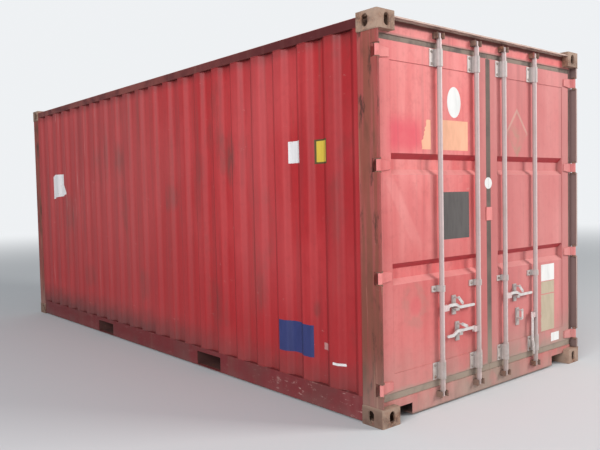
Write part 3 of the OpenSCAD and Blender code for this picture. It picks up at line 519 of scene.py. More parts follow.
def post_marks(g, color):
    """Long olive-brown streaks where paint, primer and rust have all washed down the post."""
    streak = g.noise(24.0, 5.0, (1.0, 1.0, 0.035), 70.0)
    color = g.mix(g.smooth(streak, 0.42, 0.58) * 0.75, color, (0.195, 0.060, 0.036))
    blotch = g.smooth(g.noise(5.0, 5.0, (1.0, 1.0, 0.35), 72.0), 0.50, 0.66)
    color = g.mix(blotch * 0.80, color, (0.080, 0.036, 0.021))
    low = 1.0 - g.smooth(g.z + 0.5 * g.noise(3.0, 4.0, shift=73.0), 0.70, 2.10)
    color = g.mix(low * 0.50, color, (0.125, 0.050, 0.033))
    dark = g.smooth(g.noise(9.0, 6.0, (1.0, 1.0, 0.30), 75.0, 0.65), 0.55, 0.66)
    color = g.mix(dark * 0.85, color, (0.045, 0.020, 0.014))
    pale = g.smooth(g.noise(30.0, 4.0, (1.0, 1.0, 0.05), 74.0), 0.60, 0.70)
    return g.mix(pale * (low * 0.35 + 0.30), color, (0.35, 0.20, 0.13))


def post_marks_with_painted_shade(g, color):
    """The lee post: greyed, with painted shade in its recess and on its face towards the doors."""
    # painted shade in the recess beside the door
    recess = 1.0 - g.smooth(g.x, 2.972, 2.990)
    color = g.mix(recess * 0.55, color, (0.260, 0.105, 0.110))
    streak = g.noise(20.0, 5.0, (1.0, 1.0, 0.04), 71.0)
    color = g.mix(g.smooth(streak, 0.52, 0.68) * 0.30, color, (0.200, 0.110, 0.090))
    low = 1.0 - g.smooth(g.z + 0.4 * g.noise(4.0, 4.0, shift=77.0), 0.30, 1.10)
    color = g.mix(low * 0.55, color, (0.130, 0.070, 0.052))
    # painted shade on its face towards the doors
    color = g.mix(g.smooth(0.0 - g.facing(1), 0.5, 0.8) * 0.80, color, (0.150, 0.085, 0.080))
    # the side that faces the weather is as brown as the other posts
    outside = g.smooth(g.y, 1.2085, 1.2105)
    brown = g.mix(streak, (0.260, 0.060, 0.050), (0.200, 0.085, 0.065))
    return g.mix(outside, color, post_marks(g, brown))


def rail_marks(g, color):
    """Scrapes from forklifts and chains, dull patches, and a redder rail away from the doors."""
    redder = 1.0 - g.smooth(g.x, -0.8, 2.2)
    color = g.mix(redder * 0.75, color, (0.120, 0.008, 0.010))
    scrape = g.smooth(g.noise(26.0, 5.0, (0.55, 1.0, 1.6), 78.0, 0.65), 0.60, 0.66)
    near_doors = g.smooth(g.x, 1.4, 2.6) * 0.55 + 0.12
    color = g.mix(scrape * near_doors, color, (0.46, 0.27, 0.24))
    dull = g.smooth(g.noise(3.0, 5.0, shift=79.0), 0.42, 0.62)
    return g.mix(dull * 0.40, color, (0.105, 0.045, 0.040))


def top_rail_marks(g, color):
    """Browner and paler away from the doors."""
    far = 1.0 - g.smooth(g.x, -0.5, 2.4)
    return g.mix(far * g.smooth(g.noise(5.0, 5.0), 0.30, 0.60) * 0.7, color, (0.230, 0.060, 0.048))


def lip_marks(g, color):
    """A pale lip (rubbed, plus painted highlight) over rust and painted shade, paint below, seal
    grime.
    """
    grime = 1.0 - g.smooth(g.z + 0.012 * g.noise(9.0, 5.0, shift=81.0), 2.462, 2.484)
    color = g.mix(grime * 0.80, color, (0.235, 0.175, 0.145))
    # a dark band under the lip: rust stain and painted shade together
    seep_and_shade = g.smooth(g.z + 0.02 * g.noise(12.0, 5.0, (1.0, 1.0, 0.3)), 2.520, 2.538)
    color = g.mix(seep_and_shade * 0.92, color, (0.110, 0.032, 0.026))
    blotch = g.smooth(g.noise(11.0, 5.0), 0.4, 0.65)
    brown = g.mix(blotch, (0.125, 0.050, 0.038), (0.255, 0.130, 0.095))
    lip = g.smooth(g.z, 2.546, 2.551)
    color = g.mix(lip * 0.92, color, brown)
    # the pale top of the lip: rubbed paint and a painted highlight
    rubbed = g.smooth(g.z + 0.006 * g.noise(10.0, 4.0, shift=76.0), 2.553, 2.559)
    rubbed = rubbed * g.smooth(g.noise(6.0, 4.0, shift=76.0), 0.20, 0.42)
    return g.mix(rubbed * 0.85, color, (0.64, 0.47, 0.40))


def sill_marks(g, color):
    """Mud-brown between the middle rods, and a rusty lower edge."""
    mud = g.band(g.y, -0.34, 0.36, 0.16) * g.smooth(g.noise(6.0, 5.0, shift=82.0), 0.20, 0.48)
    color = g.mix(mud * 0.80, color, (0.330, 0.245, 0.185))
    ledge = g.smooth(g.z, 0.140, 0.150)
    color = g.mix(ledge * 0.55, color, (0.330, 0.260, 0.205))
    drip = g.smooth(g.noise(14.0, 5.0, (1.0, 1.0, 0.2), 85.0), 0.46, 0.66)
    color = g.mix(drip * 0.40, color, (0.250, 0.125, 0.095))
    edge = 1.0 - g.smooth(g.z + 0.012 * g.noise(20.0, 4.0), 0.020, 0.034)
    return g.mix(edge * 0.75, color, (0.180, 0.070, 0.052))


# %% Painted parts
DEEP = (0.385, 0.016, 0.020)
DEEP_FADED = (0.460, 0.042, 0.046)
PINK = (0.66, 0.120, 0.118)
PINK_FADED = (0.78, 0.255, 0.240)
side_paint = painted(
    "side_paint", DEEP, DEEP_FADED,
    fade=0.50, stain=0.45, scab=0.10, run=0.25, edge=0.0, dust=0.06, shift=1.0,
    round_edges=0.004, extra=side_marks, folded=True,
)
front_paint = painted(
    "front_paint", DEEP, DEEP_FADED,
    fade=0.50, stain=0.50, scab=0.12, run=0.30, edge=0.0, dust=0.25, shift=51.0, extra=side_marks,
)
door_paint = painted(
    "door_paint", PINK, PINK_FADED,
    fade=0.80, stain=0.25, scab=0.05, run=0.22, edge=0.30, dust=0.45, shift=2.0, rough=0.46,
    extra=door_marks,
)
strap_paint = painted(
    "strap_paint", PINK, PINK_FADED,
    fade=0.85, stain=0.25, scab=0.16, run=0.2, edge=0.7, dust=0.3, shift=4.0, extra=greyed,
)
top_rail_paint = painted(
    "top_rail_paint", (0.082, 0.010, 0.011), (0.130, 0.028, 0.027),
    fade=0.40, stain=0.6, scab=0.30, run=0.2, edge=0.9, dust=0.0, shift=14.0,
    extra=top_rail_marks,
)
rail_paint = painted(
    "rail_paint", (0.165, 0.018, 0.022), (0.190, 0.040, 0.042),
    fade=0.45, stain=0.6, scab=0.30, run=0.3, edge=0.9, dust=0.05, dust_top=0.10, shift=5.0,
    extra=rail_marks,
)
header_paint = painted(
    "header_paint", PINK, PINK_FADED,
    fade=0.80, stain=0.45, scab=0.14, run=0.35, edge=0.6, dust=0.0, shift=6.0, extra=lip_marks,
)
sill_paint = painted(
    "sill_paint", (0.56, 0.120, 0.115), (0.60, 0.250, 0.215),
    fade=0.70, stain=0.4, scab=0.18, run=0.2, edge=0.8, dust=0.50, dust_top=0.30, shift=8.0,
    extra=sill_marks,
)
post_paint = painted(
    "post_paint", (0.340, 0.050, 0.048), (0.33, 0.095, 0.080),
    fade=0.60, stain=0.5, scab=0.34, run=0.5, edge=1.0, dust=0.3, shift=9.0, rough=0.6,
    extra=post_marks,
)
# painted light: a paler copy of the post paint brightens the right post, whose faces stand in shade
post_paint_with_painted_light = painted(
    "post_paint_with_painted_light", (0.500, 0.360, 0.330), (0.560, 0.440, 0.400),
    fade=0.75, stain=0.3, scab=0.16, run=0.2, edge=0.7, dust=0.2, shift=16.0, rough=0.6,
    extra=post_marks_with_painted_shade,
)
roof_paint = painted(
    "roof_paint", (0.420, 0.050, 0.050), (0.52, 0.19, 0.17),
    fade=0.75, stain=0.3, scab=0.30, run=0.0, edge=0.5, dust=0.0, shift=10.0, rough=0.6,
)
under_paint = painted(
    "under_paint", (0.080, 0.022, 0.020), (0.095, 0.040, 0.034),
    fade=0.4, stain=0.5, scab=0.45, run=0.2, edge=0.8, dust=0.06, shift=12.0, rough=0.7,
)
print("paints:", [m.name for m in bpy.data.materials if m.name.endswith("_paint")])


# %% Cast corners and bare steel
def rusty_steel(name, pale, amount, shift, round_edges, paint=(0.36, 0.10, 0.085)):
    """Steel that has rusted over, with a little old paint left in the hollows."""
    g = Graph(name)
    rounded = g.soft_edges(round_edges)
    base = rust_color(g, shift)
    dusty = g.smooth(g.noise(6.0, 5.0, shift=shift + 2.0), 0.32, 0.56)
    base = g.mix(dusty * 0.88, base, pale)
    left = g.smooth(g.noise(10.0, 5.0, shift=shift + 4.0), amount, amount + 0.12)
    color = g.mix(left, base, paint)
    edges = g.edge_mask(rounded, 0.05, 0.4)
    color = g.mix(edges * 0.6, color, (0.42, 0.27, 0.20))
    # the outer side of the low corners has gone as dark as the posts above them
    outer = g.smooth(0.0 - g.y, 1.2160, 1.2180) * (1.0 - g.smooth(g.z, 0.10, 0.14))
    color = g.mix(outer * 0.70, color, (0.105, 0.052, 0.036))
    pits = g.noise(90.0, 5.0, shift=shift)
    lumps = g.noise(14.0, 3.0, shift=shift)
    normal = g.bump(pits * 0.15 + lumps * 0.8, 0.6, 0.004, rounded)
    return g.finish(color, 0.70 + dusty * 0.18, normal)


casting_rust = rusty_steel("casting_rust", (0.375, 0.255, 0.190), 0.62, 20.0, 0.006)
keeper_rust = rusty_steel("keeper_rust", (0.19, 0.120, 0.092), 0.60, 24.0, 0.002)
lug_rust = rusty_steel("lug_rust", (0.24, 0.15, 0.11), 0.56, 26.0, 0.002)


# %% Zinc
ROD_Y = (-0.588, -0.170, 0.170, 0.588)


def zinc(name, shift, rust=0.3, tone=(0.60, 0.585, 0.565), metal=0.25, left_shade=0.0):
    """Hot-dip zinc gone dull and pale, with rust where the coating is through."""
    g = Graph(name)
    rounded = g.soft_edges(0.0015)
    cells = g.node("ShaderNodeTexVoronoi", {}, {"Vector": g.place, "Scale": 55.0}, "Color")
    cell = g.node("ShaderNodeSeparateColor", {}, {0: cells})
    smear = g.noise(14.0, 4.0, (1.0, 1.0, 0.12), shift)
    darker = tuple(c * 0.74 for c in tone)
    color = g.mix(cell * 0.35 + g.smooth(smear, 0.35, 0.7) * 0.5, tone, darker)
    warm = g.smooth(g.noise(5.0, 4.0, shift=shift + 3.0), 0.5, 0.75)
    color = g.mix(warm * 0.5, color, (0.55, 0.43, 0.38))
    # painted shade: a grey band down the left side of each rod, as strong as this argument
    for y in ROD_Y if left_shade else ():
        color = g.mix(g.band(g.y, y - 0.040, y - 0.005, 0.009) * left_shade, color, (0.250, 0.200, 0.190))
    # near the ground the zinc is splashed with mud
    low = 1.0 - g.smooth(g.z + 0.15 * g.noise(12.0, 5.0, shift=shift + 7.0), 0.26, 0.60)
    mud = low * g.smooth(g.noise(20.0, 5.0, shift=shift + 6.0), 0.32, 0.58)
    color = g.mix(mud * 0.50, color, (0.320, 0.265, 0.225))
    bad = scabs(g, 11.0, rust, shift + 5.0) + g.edge_mask(rounded, 0.05, 0.4) * 0.35
    bad = (bad * g.smooth(g.noise(18.0, 4.0, shift=shift + 8.0), 0.42, 0.62)).clamp()
    color = g.mix(bad, color, rust_color(g, shift))
    normal = g.bump(g.noise(120.0, 3.0, shift=shift) * 0.2 + bad * 0.3, 0.35, 0.002, rounded)
    return g.finish(color, 0.52 + bad * 0.30, normal, metal - bad * metal)


# painted reflection: the rods' pink tone stands for the red doors mirrored in them
rod_zinc = zinc("rod_zinc", 30.0, 0.10, (0.76, 0.590, 0.575), 0.10, left_shade=0.62)
guard_zinc = zinc("guard_zinc", 33.0, 0.22, (0.60, 0.530, 0.505), 0.15, left_shade=0.35)
handle_zinc = zinc("handle_zinc", 36.0, 0.12, (0.74, 0.70, 0.68))
catch_zinc = zinc("catch_zinc", 39.0, 0.42, (0.55, 0.50, 0.48))

# %% [markdown]
# ## Rubber and floor boards
#
# The door seals were black rubber. Years of dust have turned them khaki. The floor is thick
# plywood laid in panels along the container, so its grain runs along X and fine joints cross it.

# %% Seal
def rubber(name, dusty, shift):
    """Old rubber under a coat of dust; dusty is how much of it, and it thickens near the ground."""
    g = Graph(name)
    low = 1.0 - g.smooth(g.z, 0.22, 0.70)
    dust = g.smooth(g.noise(7.0, 5.0, shift=shift), 0.30, 0.62)
    cover = (dust * dusty + low * 0.45).clamp()
    tone = g.mix(cover, (0.098, 0.070, 0.060), (0.290, 0.222, 0.178))
    tone = g.mix(low * 0.35, tone, (0.36, 0.29, 0.22))
    tone = g.mix(scabs(g, 9.0, 0.2, shift + 2.0) * 0.6, tone, RUST_MID)
    return g.finish(tone, 0.75 + dust * 0.15, g.bump(g.noise(60.0, 4.0), 0.3, 0.002))


seal_rubber = rubber("seal_rubber", 0.85, 41.0)
lip_rubber = rubber("lip_rubber", 0.30, 42.0)

# %% Floor boards
g = Graph("floor_boards")
grain = g.noise(7.0, 6.0, (0.14, 5.0, 1.0), 45.0, 0.65)
board = g.node("ShaderNodeTexBrick", {"offset": 0.5}, {
    "Vector": g.place, "Color1": (0.0, 0.0, 0.0), "Color2": (1.0, 1.0, 1.0),
    "Mortar": (0.5, 0.5, 0.5), "Scale": 1.0, "Mortar Size": 0.003, "Mortar Smooth": 0.2,
    "Brick Width": 2.4, "Row Height": 1.16,
})
joint = Value(g, board.socket.node.outputs[1])
board_tone = g.node("ShaderNodeSeparateColor", {}, {0: board})
wood = g.mix(g.smooth(grain, 0.3, 0.7), (0.150, 0.078, 0.042), (0.315, 0.190, 0.110))
wood = g.mix(board_tone * 0.25, wood, (0.20, 0.12, 0.075))
scrape = g.smooth(g.noise(6.0, 5.0, (0.25, 3.0, 1.0), 47.0), 0.60, 0.68)
wood = g.mix(scrape * 0.5, wood, (0.40, 0.31, 0.23))
wood = g.mix(joint, wood, (0.03, 0.02, 0.015))
floor_boards = g.finish(wood, 0.62 + scrape * 0.2, g.bump(grain * 0.5 - joint * 2.0, 0.4, 0.003))
print("rubber and floor boards ready")

# %% Finish for each solid part
FINISH = {
    "bottom_corner_fittings": casting_rust, "door_top_fittings": casting_rust,
    "front_top_fittings": casting_rust, "roof_end_plates": roof_paint,
    "left_door_post": post_paint, "right_door_post": post_paint_with_painted_light,
    "front_corner_posts": post_paint,
    "door_header": header_paint, "door_sill": sill_paint, "cam_keepers": keeper_rust,
    "hinge_lugs": lug_rust, "hinge_pins": lug_rust, "front_top_rail": top_rail_paint,
    "front_sill": rail_paint, "top_side_rails": top_rail_paint, "bottom_side_rails": rail_paint,
    "left_side_wall": side_paint, "right_side_wall": side_paint, "front_wall": front_paint,
    "roof": roof_paint, "floor": floor_boards, "cross_members": under_paint,
    "fork_pockets": under_paint, "lap_plate": strap_paint,
}
for side in ("left", "right"):
    FINISH[side + "_door_frame"] = door_paint
    FINISH[side + "_door_panel"] = door_paint
    FINISH[side + "_door_seal"] = seal_rubber
    FINISH[side + "_hinge_blades"] = strap_paint
    FINISH[side + "_rod_brackets"] = guard_zinc
    FINISH[side + "_handle_catches"] = catch_zinc
for number in "1234":
    FINISH["lock_rod_" + number] = rod_zinc
    FINISH["handle_" + number] = handle_zinc
    FINISH["hasp_" + number] = handle_zinc
for name, solid in nodes.items():
    solid.data.materials.clear()
    solid.data.materials.append(FINISH[name])
print("finished solids:", len(nodes))

# %% [markdown]
# ## Small pieces: a helper first
#
# Each added piece is a little mesh made with bmesh operators.


# %% Helper for new pieces
def finish_piece(name, mesh, material, body):
    """Turn a bmesh into an object that rides on a body, with one material."""
    bmesh.ops.recalc_face_normals(mesh, faces=mesh.faces[:])
    data = bpy.data.meshes.new(name)
    mesh.to_mesh(data)
    mesh.free()
    obj = bpy.data.objects.new(name, data)
    bpy.context.collection.objects.link(obj)
    data.materials.append(material)
    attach(obj, body)
    return obj


print("piece helper ready")

# %% [markdown]
# ## Labels and patches on the doors
#
# Foil labels are glued on after painting. A label is a grid standing just proud of the door, and
# extruded by less than half a millimetre. Torn edges come from shifting the left edge's points
# sideways by random amounts. Nothing is written on them: age has bleached them blank.


# %% Label finish
def label_finish(name, tone, wear, shift, under=(0.60, 0.17, 0.16), border=None, folded=False):
    """Foil or thick paint, dirty and partly worn through to the paint under it."""
    g = Graph(name)
    g.shader.inputs["Specular IOR Level"].default_value = 0.3
    dirt = g.smooth(g.noise(18.0, 5.0, (1.0, 1.0, 0.3), shift), 0.35, 0.75)
    color = g.mix(dirt * 0.35, tone, tuple(c * 0.62 for c in tone))
    if border:
        color = border(g, color)
    pricks = g.smooth(g.noise(75.0, 3.0, shift=shift), 0.70, 0.76) * wear
    gone = scabs(g, 30.0, wear, shift + 1.0) + pricks
    color = g.mix(gone.clamp(), color, under)
    height = g.noise(40.0, 3.0, shift=shift) - gone * 0.6
    normal = round_folds(g, g.node("ShaderNodeNewGeometry", {}, {}, "Normal")) if folded else None
    return g.finish(color, 0.55 + dirt * 0.2, g.bump(height, 0.2, 0.002, normal))


white_label = label_finish("white_label", (0.80, 0.79, 0.77), 0.22, 80.0)
white_paint = label_finish(
    "white_paint", (0.70, 0.68, 0.68), 0.40, 83.0, (0.40, 0.045, 0.048), folded=True
)
beige_label = label_finish("beige_label", (0.52, 0.43, 0.31), 0.12, 86.0)
grey_patch = label_finish("grey_patch", (0.105, 0.094, 0.090), 0.08, 89.0)
orange_patch = label_finish("orange_patch", (0.86, 0.44, 0.28), 0.16, 92.0)
blue_patch = label_finish(
    "blue_patch", (0.028, 0.037, 0.135), 0.16, 95.0, (0.34, 0.04, 0.05), folded=True
)
dull_spot = label_finish(
    "dull_spot", (0.42, 0.20, 0.19), 0.10, 98.0, (0.37, 0.045, 0.05), folded=True
)


def yellow_border(g, color):
    """A dark frame round the yellow label."""
    inside = g.band(g.x, 2.414, 2.538, 0.002) * g.band(g.z, 1.687, 1.829, 0.002)
    return g.mix(inside, (0.085, 0.060, 0.020), color)


yellow_label = label_finish(
    "yellow_label", (0.62, 0.44, 0.055), 0.14, 101.0, (0.37, 0.045, 0.05), yellow_border, True
)

# %% Labels on the doors
DOOR_X = 2.976
SEAL_X = 2.9768
PANEL_X = 2.972
LABEL_T = 0.0004


def thicken(mesh, step):
    """Give a flat mesh its thickness: a copy of its faces moves by step, and walls join the two."""
    grown = bmesh.ops.extrude_face_region(mesh, geom=mesh.faces[:])
    moved = [v for v in grown["geom"] if isinstance(v, bmesh.types.BMVert)]
    bmesh.ops.translate(mesh, verts=moved, vec=step)


def whole(mesh):
    """All that a mesh holds, for the operators that want it as one list."""
    return mesh.verts[:] + mesh.edges[:] + mesh.faces[:]


def door_label(name, side, material, x, y, z, ragged=0.0, seed=1, lean=0.0):
    """A thin plate between y[0]..y[1] and z[0]..z[1]; ragged and lean shift its left edge."""
    mesh = bmesh.new()
    rows = 14 if ragged else 1
    bmesh.ops.create_grid(mesh, x_segments=1, y_segments=rows, size=0.5)
    rng = random.Random(seed)
    for vert in mesh.verts:
        left = vert.co.x < 0.0
        across = y[0] + (vert.co.x + 0.5) * (y[1] - y[0])
        if ragged and left:
            across += rng.uniform(-ragged, ragged) - lean * (0.5 - vert.co.y)
        vert.co = (x, across, z[0] + (vert.co.y + 0.5) * (z[1] - z[0]))
    thicken(mesh, (LABEL_T, 0.0, 0.0))
    finish_piece(name, mesh, material, side + "_door")


def facing_out(x, y, z):
    """The place and turn of a round thing that faces out of the doors."""
    return Matrix.Translation((x, y, z)) @ Matrix.Rotation(math.radians(90), 4, "Y")


def disc(x, y, z, half_y, half_z):
    """A new mesh with an oval plate that faces out of the doors."""
    mesh = bmesh.new()
    bmesh.ops.create_cone(
        mesh, cap_ends=True, segments=40, radius1=1.0, radius2=1.0, depth=LABEL_T,
        matrix=facing_out(x, y, z) @ Matrix.Diagonal((half_z, half_y, 1.0, 1.0)),
    )
    return mesh


oval = disc(PANEL_X + LABEL_T / 2, -0.395, 2.081, 0.075, 0.106)
finish_piece("oval_mark", oval, white_label, "left_door")
door_label("grey_mark", "left", grey_patch, PANEL_X, (-0.529, -0.233), (1.140, 1.465))
door_label("orange_mark", "left", orange_patch, PANEL_X, (-0.545, -0.241), (1.752, 1.955), 0.006, 5)
door_label(
    "orange_torn", "left", orange_patch, PANEL_X, (-0.692, -0.652), (1.752, 1.948), 0.012, 6, 0.058
)
door_label("right_label_1", "right", white_label, PANEL_X, (0.724, 0.925), (0.724, 0.858))
door_label("right_label_2", "right", beige_label, PANEL_X, (0.726, 0.922), (0.620, 0.718), 0.004, 7)
door_label("right_label_3", "right", beige_label, PANEL_X, (0.722, 0.922), (0.316, 0.612), 0.005, 8)
door_label("right_label_4", "right", white_label, DOOR_X, (0.867, 0.990), (0.214, 0.284), 0.004, 9)

# the round sticker on the joint was torn in two when the doors opened
for side, way in (("left", -1), ("right", 1)):
    half = disc(SEAL_X + LABEL_T / 2, -0.003, 1.523, 0.045, 0.042)
    cut = bmesh.ops.bisect_plane(
        half, geom=whole(half), plane_co=(0.0, way * 0.0008, 0.0), plane_no=(0.0, -way, 0.0),
        clear_outer=True,
    )
    rim = [e for e in cut["geom_cut"] if isinstance(e, bmesh.types.BMEdge)]
    bmesh.ops.holes_fill(half, edges=rim)
    finish_piece("round_mark_" + side, half, white_label, side + "_door")
print("labels on the doors ready")

# %% [markdown]
# ## Rubber lips on the centre joint
#
# Where the doors meet, each one carries a flat rubber lip on the front of its edge. The two lips
# nearly touch and keep the rain out of the gap, so the joint reads as one broad brown band.

# %% Centre lips
LIP_T = 0.0008
for side, y0, y1 in (("left", -0.0265, -0.0006), ("right", 0.0006, 0.0265)):
    mesh = bmesh.new()
    bmesh.ops.create_cube(mesh, size=1.0)
    bmesh.ops.scale(mesh, verts=mesh.verts[:], vec=(LIP_T, y1 - y0, 2.225))
    bmesh.ops.translate(mesh, verts=mesh.verts[:], vec=(DOOR_X + LIP_T / 2, (y0 + y1) / 2, 1.3065))
    finish_piece(side + "_centre_lip", mesh, lip_rubber, side + "_door")
print("centre lips ready")

# %% [markdown]
# ## Marks that follow the folded side
#
# Paint on a corrugated wall dips into every valley. So the plate starts as a flat grid, is cut
# with a plane at each fold line, and then each point moves to the wall's own depth at its place
# along X. A straight plate across the folds would hang in the air over the valleys.

# %% The wall's depth
def wall_depth(x):
    """How far the wall's outer face lies in from its crests, at a place along the container."""
    at = (x - FIRST_FOLD) % PITCH
    if x < FIRST_FOLD or at > PITCH - CREST:
        return 0.0
    if at < SLOPE:
        return VALLEY * at / SLOPE
    if at < VALLEY_END:
        return VALLEY
    return VALLEY * (PITCH - CREST - at) / SLOPE


def wall_mark(name, material, x, z, cuts=()):
    """A mark painted on the folds; cuts are lines (x, z, nx, nz) whose far side is taken off."""
    mesh = bmesh.new()
    bmesh.ops.create_grid(mesh, x_segments=1, y_segments=1, size=0.5)
    for vert in mesh.verts:
        along = x[0] + (vert.co.x + 0.5) * (x[1] - x[0])
        vert.co = (along, 0.0, z[0] + (vert.co.y + 0.5) * (z[1] - z[0]))
    for cut_x, cut_z, nx, nz in cuts:
        bmesh.ops.bisect_plane(
            mesh, geom=whole(mesh), plane_co=(cut_x, 0.0, cut_z), plane_no=(nx, 0.0, nz),
            clear_outer=True,
        )
    for line in fold_lines:
        if x[0] < line < x[1]:
            bmesh.ops.bisect_plane(
                mesh, geom=whole(mesh), plane_co=(line, 0.0, 0.0), plane_no=(1.0, 0.0, 0.0)
            )
    for vert in mesh.verts:
        vert.co.y = CREST_Y + wall_depth(vert.co.x)
    thicken(mesh, (0.0, -LABEL_T, 0.0))
    finish_piece(name, mesh, material, "container")


# %% Marks on the long side
wall_mark("blue_mark", blue_patch, (1.995, 2.373), (0.338, 0.562))
wall_mark("yellow_mark", yellow_label, (2.400, 2.552), (1.675, 1.841))
wall_mark("white_mark", white_paint, (2.122, 2.262), (1.692, 1.846))
wall_mark("grey_spot", dull_spot, (2.456, 2.510), (0.406, 0.454))
wall_mark("white_strip", white_paint, (2.574, 2.676), (0.327, 0.344), ((2.676, 0.336, 1.0, 0.35),))
wall_mark(
    "torn_mark", white_paint, (-2.490, -1.990), (1.470, 1.764),
    ((-2.16, 1.764, 0.245, 0.165), (-1.995, 1.525, 0.055, -0.495), (-2.46, 1.76, -0.5, 0.9)),
)
print("marks on the side ready")

# %% [markdown]
# ## Bolts of the rod brackets
#
# The lock rods run in pressed guards, each held by two bolts through its flange on the left, and
# the narrow guides by one. They are round-headed bolts, so nobody can undo them from outside. Each
# head is a flattened sphere that comes through a thin washer.

# %% Bolts
LEAF_LOW = 0.190
LEAF_TOP = 2.423
FLANGE_X = 2.981
BOLT_IN = 0.055


def bolt_head(mesh, x, y, z, radius):
    """A domed head on a washer, both facing out of the doors."""
    place = facing_out(x, y, z)
    bmesh.ops.create_cone(
        mesh, cap_ends=True, segments=20, radius1=radius * 1.35, radius2=radius * 1.25, depth=0.003,
        matrix=place,
    )
    bmesh.ops.create_uvsphere(
        mesh, u_segments=16, v_segments=8, radius=radius,
        matrix=place @ Matrix.Diagonal((1.0, 1.0, 0.62, 1.0)),
    )


bolt_zinc = zinc("bolt_zinc", 44.0, 0.75, (0.30, 0.25, 0.22))
for number, y in enumerate(ROD_Y, start=1):
    mesh = bmesh.new()
    places = []
    for low in (LEAF_LOW + 0.005, LEAF_TOP - 0.121):
        places += [(low + 0.018, 0.0085), (low + 0.098, 0.0085)]
    places.append((LEAF_LOW + 0.624, 0.008))
    for z, radius in places:
        bolt_head(mesh, FLANGE_X, y - BOLT_IN, z, radius)
    body = "left_door" if y < 0.0 else "right_door"
    finish_piece("bracket_bolts_" + str(number), mesh, bolt_zinc, body)
print("bolts ready")

# %% [markdown]
# ## Weld beads
#
# The container is welded all round: the folded sheets to the rails and posts, the posts to the
# corner castings, the hinge straps to the doors. A bead is a thin tube that follows the joint and
# swells a little at every step, as the welder's hand moves on. It starts as a flat grid, long in
# one direction, whose rows are wrapped into rings around the path and then joined up.


# %% Bead helper
def resample(path, step):
    """Points along a path of straight pieces, about one step apart."""
    points = [Vector(path[0])]
    for a, b in zip(path, path[1:]):
        a, b = Vector(a), Vector(b)
        parts = max(1, round((b - a).length / step))
        points += [a.lerp(b, k / parts) for k in range(1, parts + 1)]
    return points


def bead(mesh, path, radius, rng, step=0.014, sides=6):
    """Add a weld bead that follows a path."""
    points = resample(path, step)
    last = len(points) - 1
    made = bmesh.ops.create_grid(mesh, x_segments=last, y_segments=sides, size=0.5)["verts"]
    swell = [radius * rng.uniform(0.78, 1.18) for _ in points]
    for vert in made:
        i = round((vert.co.x + 0.5) * last)
        angle = math.tau * round((vert.co.y + 0.5) * sides) / sides
        along = (points[min(i + 1, last)] - points[max(i - 1, 0)]).normalized()
        over = Vector((0.0, 0.0, 1.0)) if abs(along.z) < 0.7 else Vector((1.0, 0.0, 0.0))
        first = along.cross(over).normalized()
        second = along.cross(first)
        ring = first * math.cos(angle) + second * math.sin(angle)
        size = swell[i] * (0.35 if i in (0, last) else 1.0)
        vert.co = points[i] + ring * size
    bmesh.ops.remove_doubles(mesh, verts=made, dist=0.00002)


def close_ends(mesh):
    """Fill the open rings at the ends of the beads."""
    bmesh.ops.holes_fill(mesh, edges=[e for e in mesh.edges if e.is_boundary], sides=12)


def smooth_piece(obj):
    """Shade a round piece smoothly."""
    for face in obj.data.polygons:
        face.use_smooth = True


# %% Beads of the long walls
FLOOR_Z = 0.170
WALL_TOP = 2.503
WALL_END = 2.851
fold_path = [(-WALL_END, 0.0)] + [(x, wall_depth(x)) for x in fold_lines] + [(WALL_END, 0.0)]
for name, way in (("left", -1.0), ("right", 1.0)):
    mesh = bmesh.new()
    rng = random.Random(11 if way < 0 else 12)
    for z in (FLOOR_Z + 0.0015, WALL_TOP - 0.0015):
        bead(mesh, [(x, way * (1.2125 - depth), z) for x, depth in fold_path], 0.0030, rng, 0.020)
    for x in (-WALL_END, WALL_END):
        bead(mesh, [(x, way * 1.2128, FLOOR_Z), (x, way * 1.2128, WALL_TOP)], 0.0034, rng, 0.018)
    close_ends(mesh)
    smooth_piece(finish_piece(name + "_wall_beads", mesh, side_paint, "container"))
print("wall beads ready")

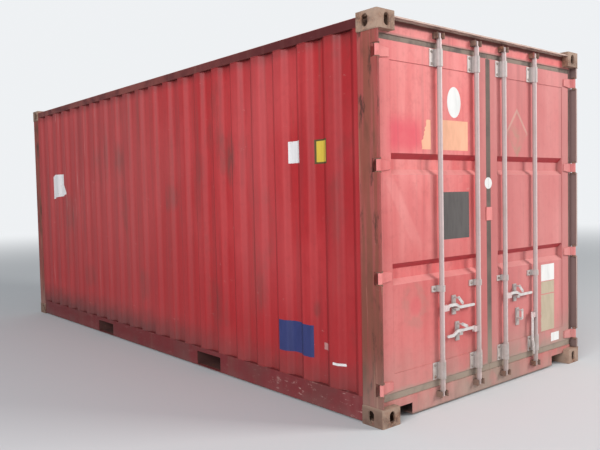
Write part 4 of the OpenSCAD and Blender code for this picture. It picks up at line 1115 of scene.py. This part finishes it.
# %% Beads at the corner castings
HALF_LENGTH = 3.029
HALF_WIDTH = 1.219
CASTING_L = 0.178
CASTING_W = 0.162
DOOR_LIP = 0.022
SET_IN = 0.0045
mesh = bmesh.new()
rng = random.Random(21)
for end in (-1.0, 1.0):
    lip = DOOR_LIP if end > 0 else CASTING_W
    for way in (-1.0, 1.0):
        for z in (0.1195, 2.4715):
            corner = [(CASTING_L, SET_IN), (SET_IN, SET_IN), (SET_IN, lip)]
            path = [(end * (HALF_LENGTH - u), way * (HALF_WIDTH - v), z) for u, v in corner]
            bead(mesh, path, 0.0040, rng)
close_ends(mesh)
smooth_piece(finish_piece("casting_beads", mesh, casting_rust, "container"))
print("casting beads ready")

# %% Beads round the hinge straps
HINGE_Z = [LEAF_LOW + 0.048 + i * (LEAF_TOP - LEAF_LOW - 0.127) / 3 for i in range(4)]
for side, way in (("left", -1.0), ("right", 1.0)):
    mesh = bmesh.new()
    rng = random.Random(31 if way < 0 else 32)
    for z in HINGE_Z:
        rim = [(1.150, 0.0365), (1.067, 0.0265), (1.067, -0.0265), (1.150, -0.0365)]
        bead(mesh, [(2.9765, way * y, z + up) for y, up in rim], 0.0022, rng, 0.010)
    close_ends(mesh)
    beads = finish_piece(side + "_hinge_beads", mesh, strap_paint, side + "_door")
    smooth_piece(beads)
print("hinge beads ready")

# %% [markdown]
# ## Floor screws
#
# The plywood panels are screwed down to every cross member, eight screws to a row. Each head is a
# low disc that stands just proud of the boards. From the open doors they make the regular dotted
# lines that every container floor has.

# %% Screws
screw_steel = rusty_steel("screw_steel", (0.30, 0.25, 0.21), 0.90, 46.0, 0.001)
SPACING = 0.300
WEB_TO_ROW = 0.0225
POCKET_AT = 1.025
POCKET_ROOM = 0.235
SCREWS_IN_ROW = 8
HEAD_H = 0.0008
row_places = [i * SPACING for i in range(-9, 10)]
SCREW_ROWS = [x + WEB_TO_ROW for x in row_places if abs(abs(x) - POCKET_AT) > POCKET_ROOM]
mesh = bmesh.new()
for x in SCREW_ROWS:
    for k in range(SCREWS_IN_ROW):
        head = Matrix.Translation((x, -1.05 + k * SPACING, FLOOR_Z + HEAD_H / 2))
        bmesh.ops.create_cone(
            mesh, cap_ends=True, segments=12, radius1=0.0075, radius2=0.0068, depth=HEAD_H,
            matrix=head,
        )
finish_piece("floor_screws", mesh, screw_steel, "container")
print("floor screws:", len(SCREW_ROWS) * SCREWS_IN_ROW)
